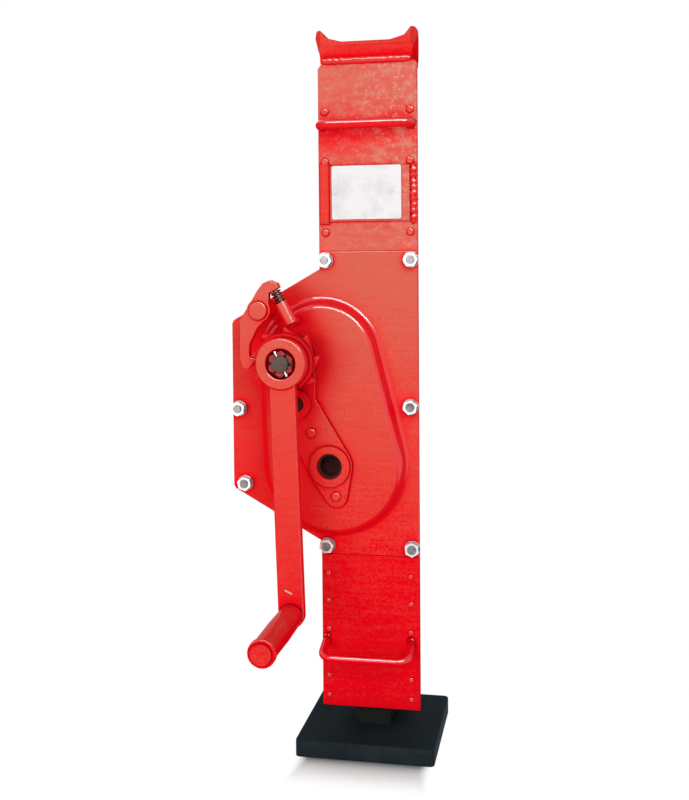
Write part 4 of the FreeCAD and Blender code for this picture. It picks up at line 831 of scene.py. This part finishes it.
# lamps and sky; the card is only mirrored in gloss
skyLight = 0.455
lampAim = (0, 0, 0.38)
lamps = {
    "keySoftbox": {"power": 27.5, "place": (1.5, -2.6, 2.0), "wide": 1.0, "tall": 1.0},
    "fillSoftbox": {"power": 40, "place": (-1.3, -2.7, 0.3), "wide": 2.0, "tall": 2.0},
    "backSoftbox": {"power": 9, "place": (-0.6, 2.2, 2.0), "wide": 1.4, "tall": 1.4},
    "cardAbove": {"power": 100, "place": (0.35, -1.4, 1.75), "wide": 2.2, "tall": 0.9, "diffuse": False},
}


def addLamp(name, settings):
    data = bpy.data.lights.new(name, "AREA")
    data.energy = settings["power"]
    data.shape = "RECTANGLE"
    data.size = settings["wide"]
    data.size_y = settings["tall"]
    lamp = bpy.data.objects.new(name, data)
    lamp.location = settings["place"]
    toAim = Vector(lampAim) - Vector(settings["place"])
    lamp.rotation_euler = toAim.to_track_quat("-Z", "Y").to_euler()
    lamp.visible_diffuse = settings.get("diffuse", True)
    scene.collection.objects.link(lamp)


for lampName, lampSettings in lamps.items():
    addLamp(lampName, lampSettings)


def seenDirectly(tree):
    path = put(tree, "ShaderNodeLightPath").outputs
    seen = sums(tree, "MAXIMUM", path["Is Camera Ray"], path["Is Glossy Ray"])
    return sums(tree, "MAXIMUM", seen, path["Is Transmission Ray"])


world = bpy.data.worlds.new("studio")
scene.world = world
world.use_nodes = True
worldTree = world.node_tree
level = ramp(worldTree, seenDirectly(worldTree), 0, 1, skyLight, 1.0, smooth=False)
worldTree.links.new(level, worldTree.nodes["Background"].inputs["Strength"])
worldTree.nodes["Background"].inputs["Color"].default_value = (1, 1, 1, 1)

# pale floor that keeps a soft shadow round the foot and runs out to white
floorSettings = {
    "half": 6.0,
    "beside": 0.053,  # distances from the middle of the foot where the shadow starts to run out
    "before": 0.070,
    "behind": 0.055,
    "hurry": 4.0,  # how much faster it runs out beside and behind
    "runOut": (0.008, 0.062),
    "shadow": 0.16,
    "shadowReach": (0.08, 16),  # reach and samples
    "shadowRange": (0.40, 0.97),
    "coolRed": 0.91,  # share of red left where the floor is seen
    "roughness": 0.7,
}


def paintFloor(name, settings):
    material, tree, shader = newMaterial(name)
    place = split(tree, objectCoords(tree))
    aside = sums(tree, "SUBTRACT", sums(tree, "ABSOLUTE", place[0]), settings["beside"])
    ahead = sums(tree, "SUBTRACT", times(tree, place[1], -1.0), settings["before"])
    behind = sums(tree, "SUBTRACT", place[1], settings["behind"])
    away = sums(tree, "MAXIMUM", times(tree, aside, settings["hurry"]), ahead)
    away = sums(tree, "MAXIMUM", away, times(tree, behind, settings["hurry"]))
    seen = seenDirectly(tree)
    white = times(tree, ramp(tree, away, *settings["runOut"]), seen)
    inOpen = openness(tree, *settings["shadowReach"])
    shade = ramp(tree, inOpen, *settings["shadowRange"], settings["shadow"], 1.0)
    red = times(tree, shade, ramp(tree, seen, 0, 1, 1.0, settings["coolRed"], smooth=False))
    tint = put(tree, "ShaderNodeCombineColor", {0: red, 1: shade, 2: shade}).outputs[0]
    tree.links.new(tint, shader.inputs["Base Color"])
    shader.inputs["Roughness"].default_value = settings["roughness"]
    shader.inputs["Specular IOR Level"].default_value = 0.0
    glow = put(tree, "ShaderNodeEmission", {"Color": (1, 1, 1, 1), "Strength": 1.0})
    both = put(tree, "ShaderNodeMixShader", {0: white, 1: shader.outputs[0], 2: glow.outputs[0]})
    tree.links.new(both.outputs[0], tree.nodes["Material Output"].inputs["Surface"])
    return material


bm = bmesh.new()
bmesh.ops.create_grid(bm, x_segments=1, y_segments=1, size=floorSettings["half"])
floorMesh = bpy.data.meshes.new("floor")
bm.to_mesh(floorMesh)
bm.free()
floorMesh.materials.append(paintFloor("paleFloor", floorSettings))
floor = bpy.data.objects.new("floor", floorMesh)
scene.collection.objects.link(floor)
print("floor and lamps set")
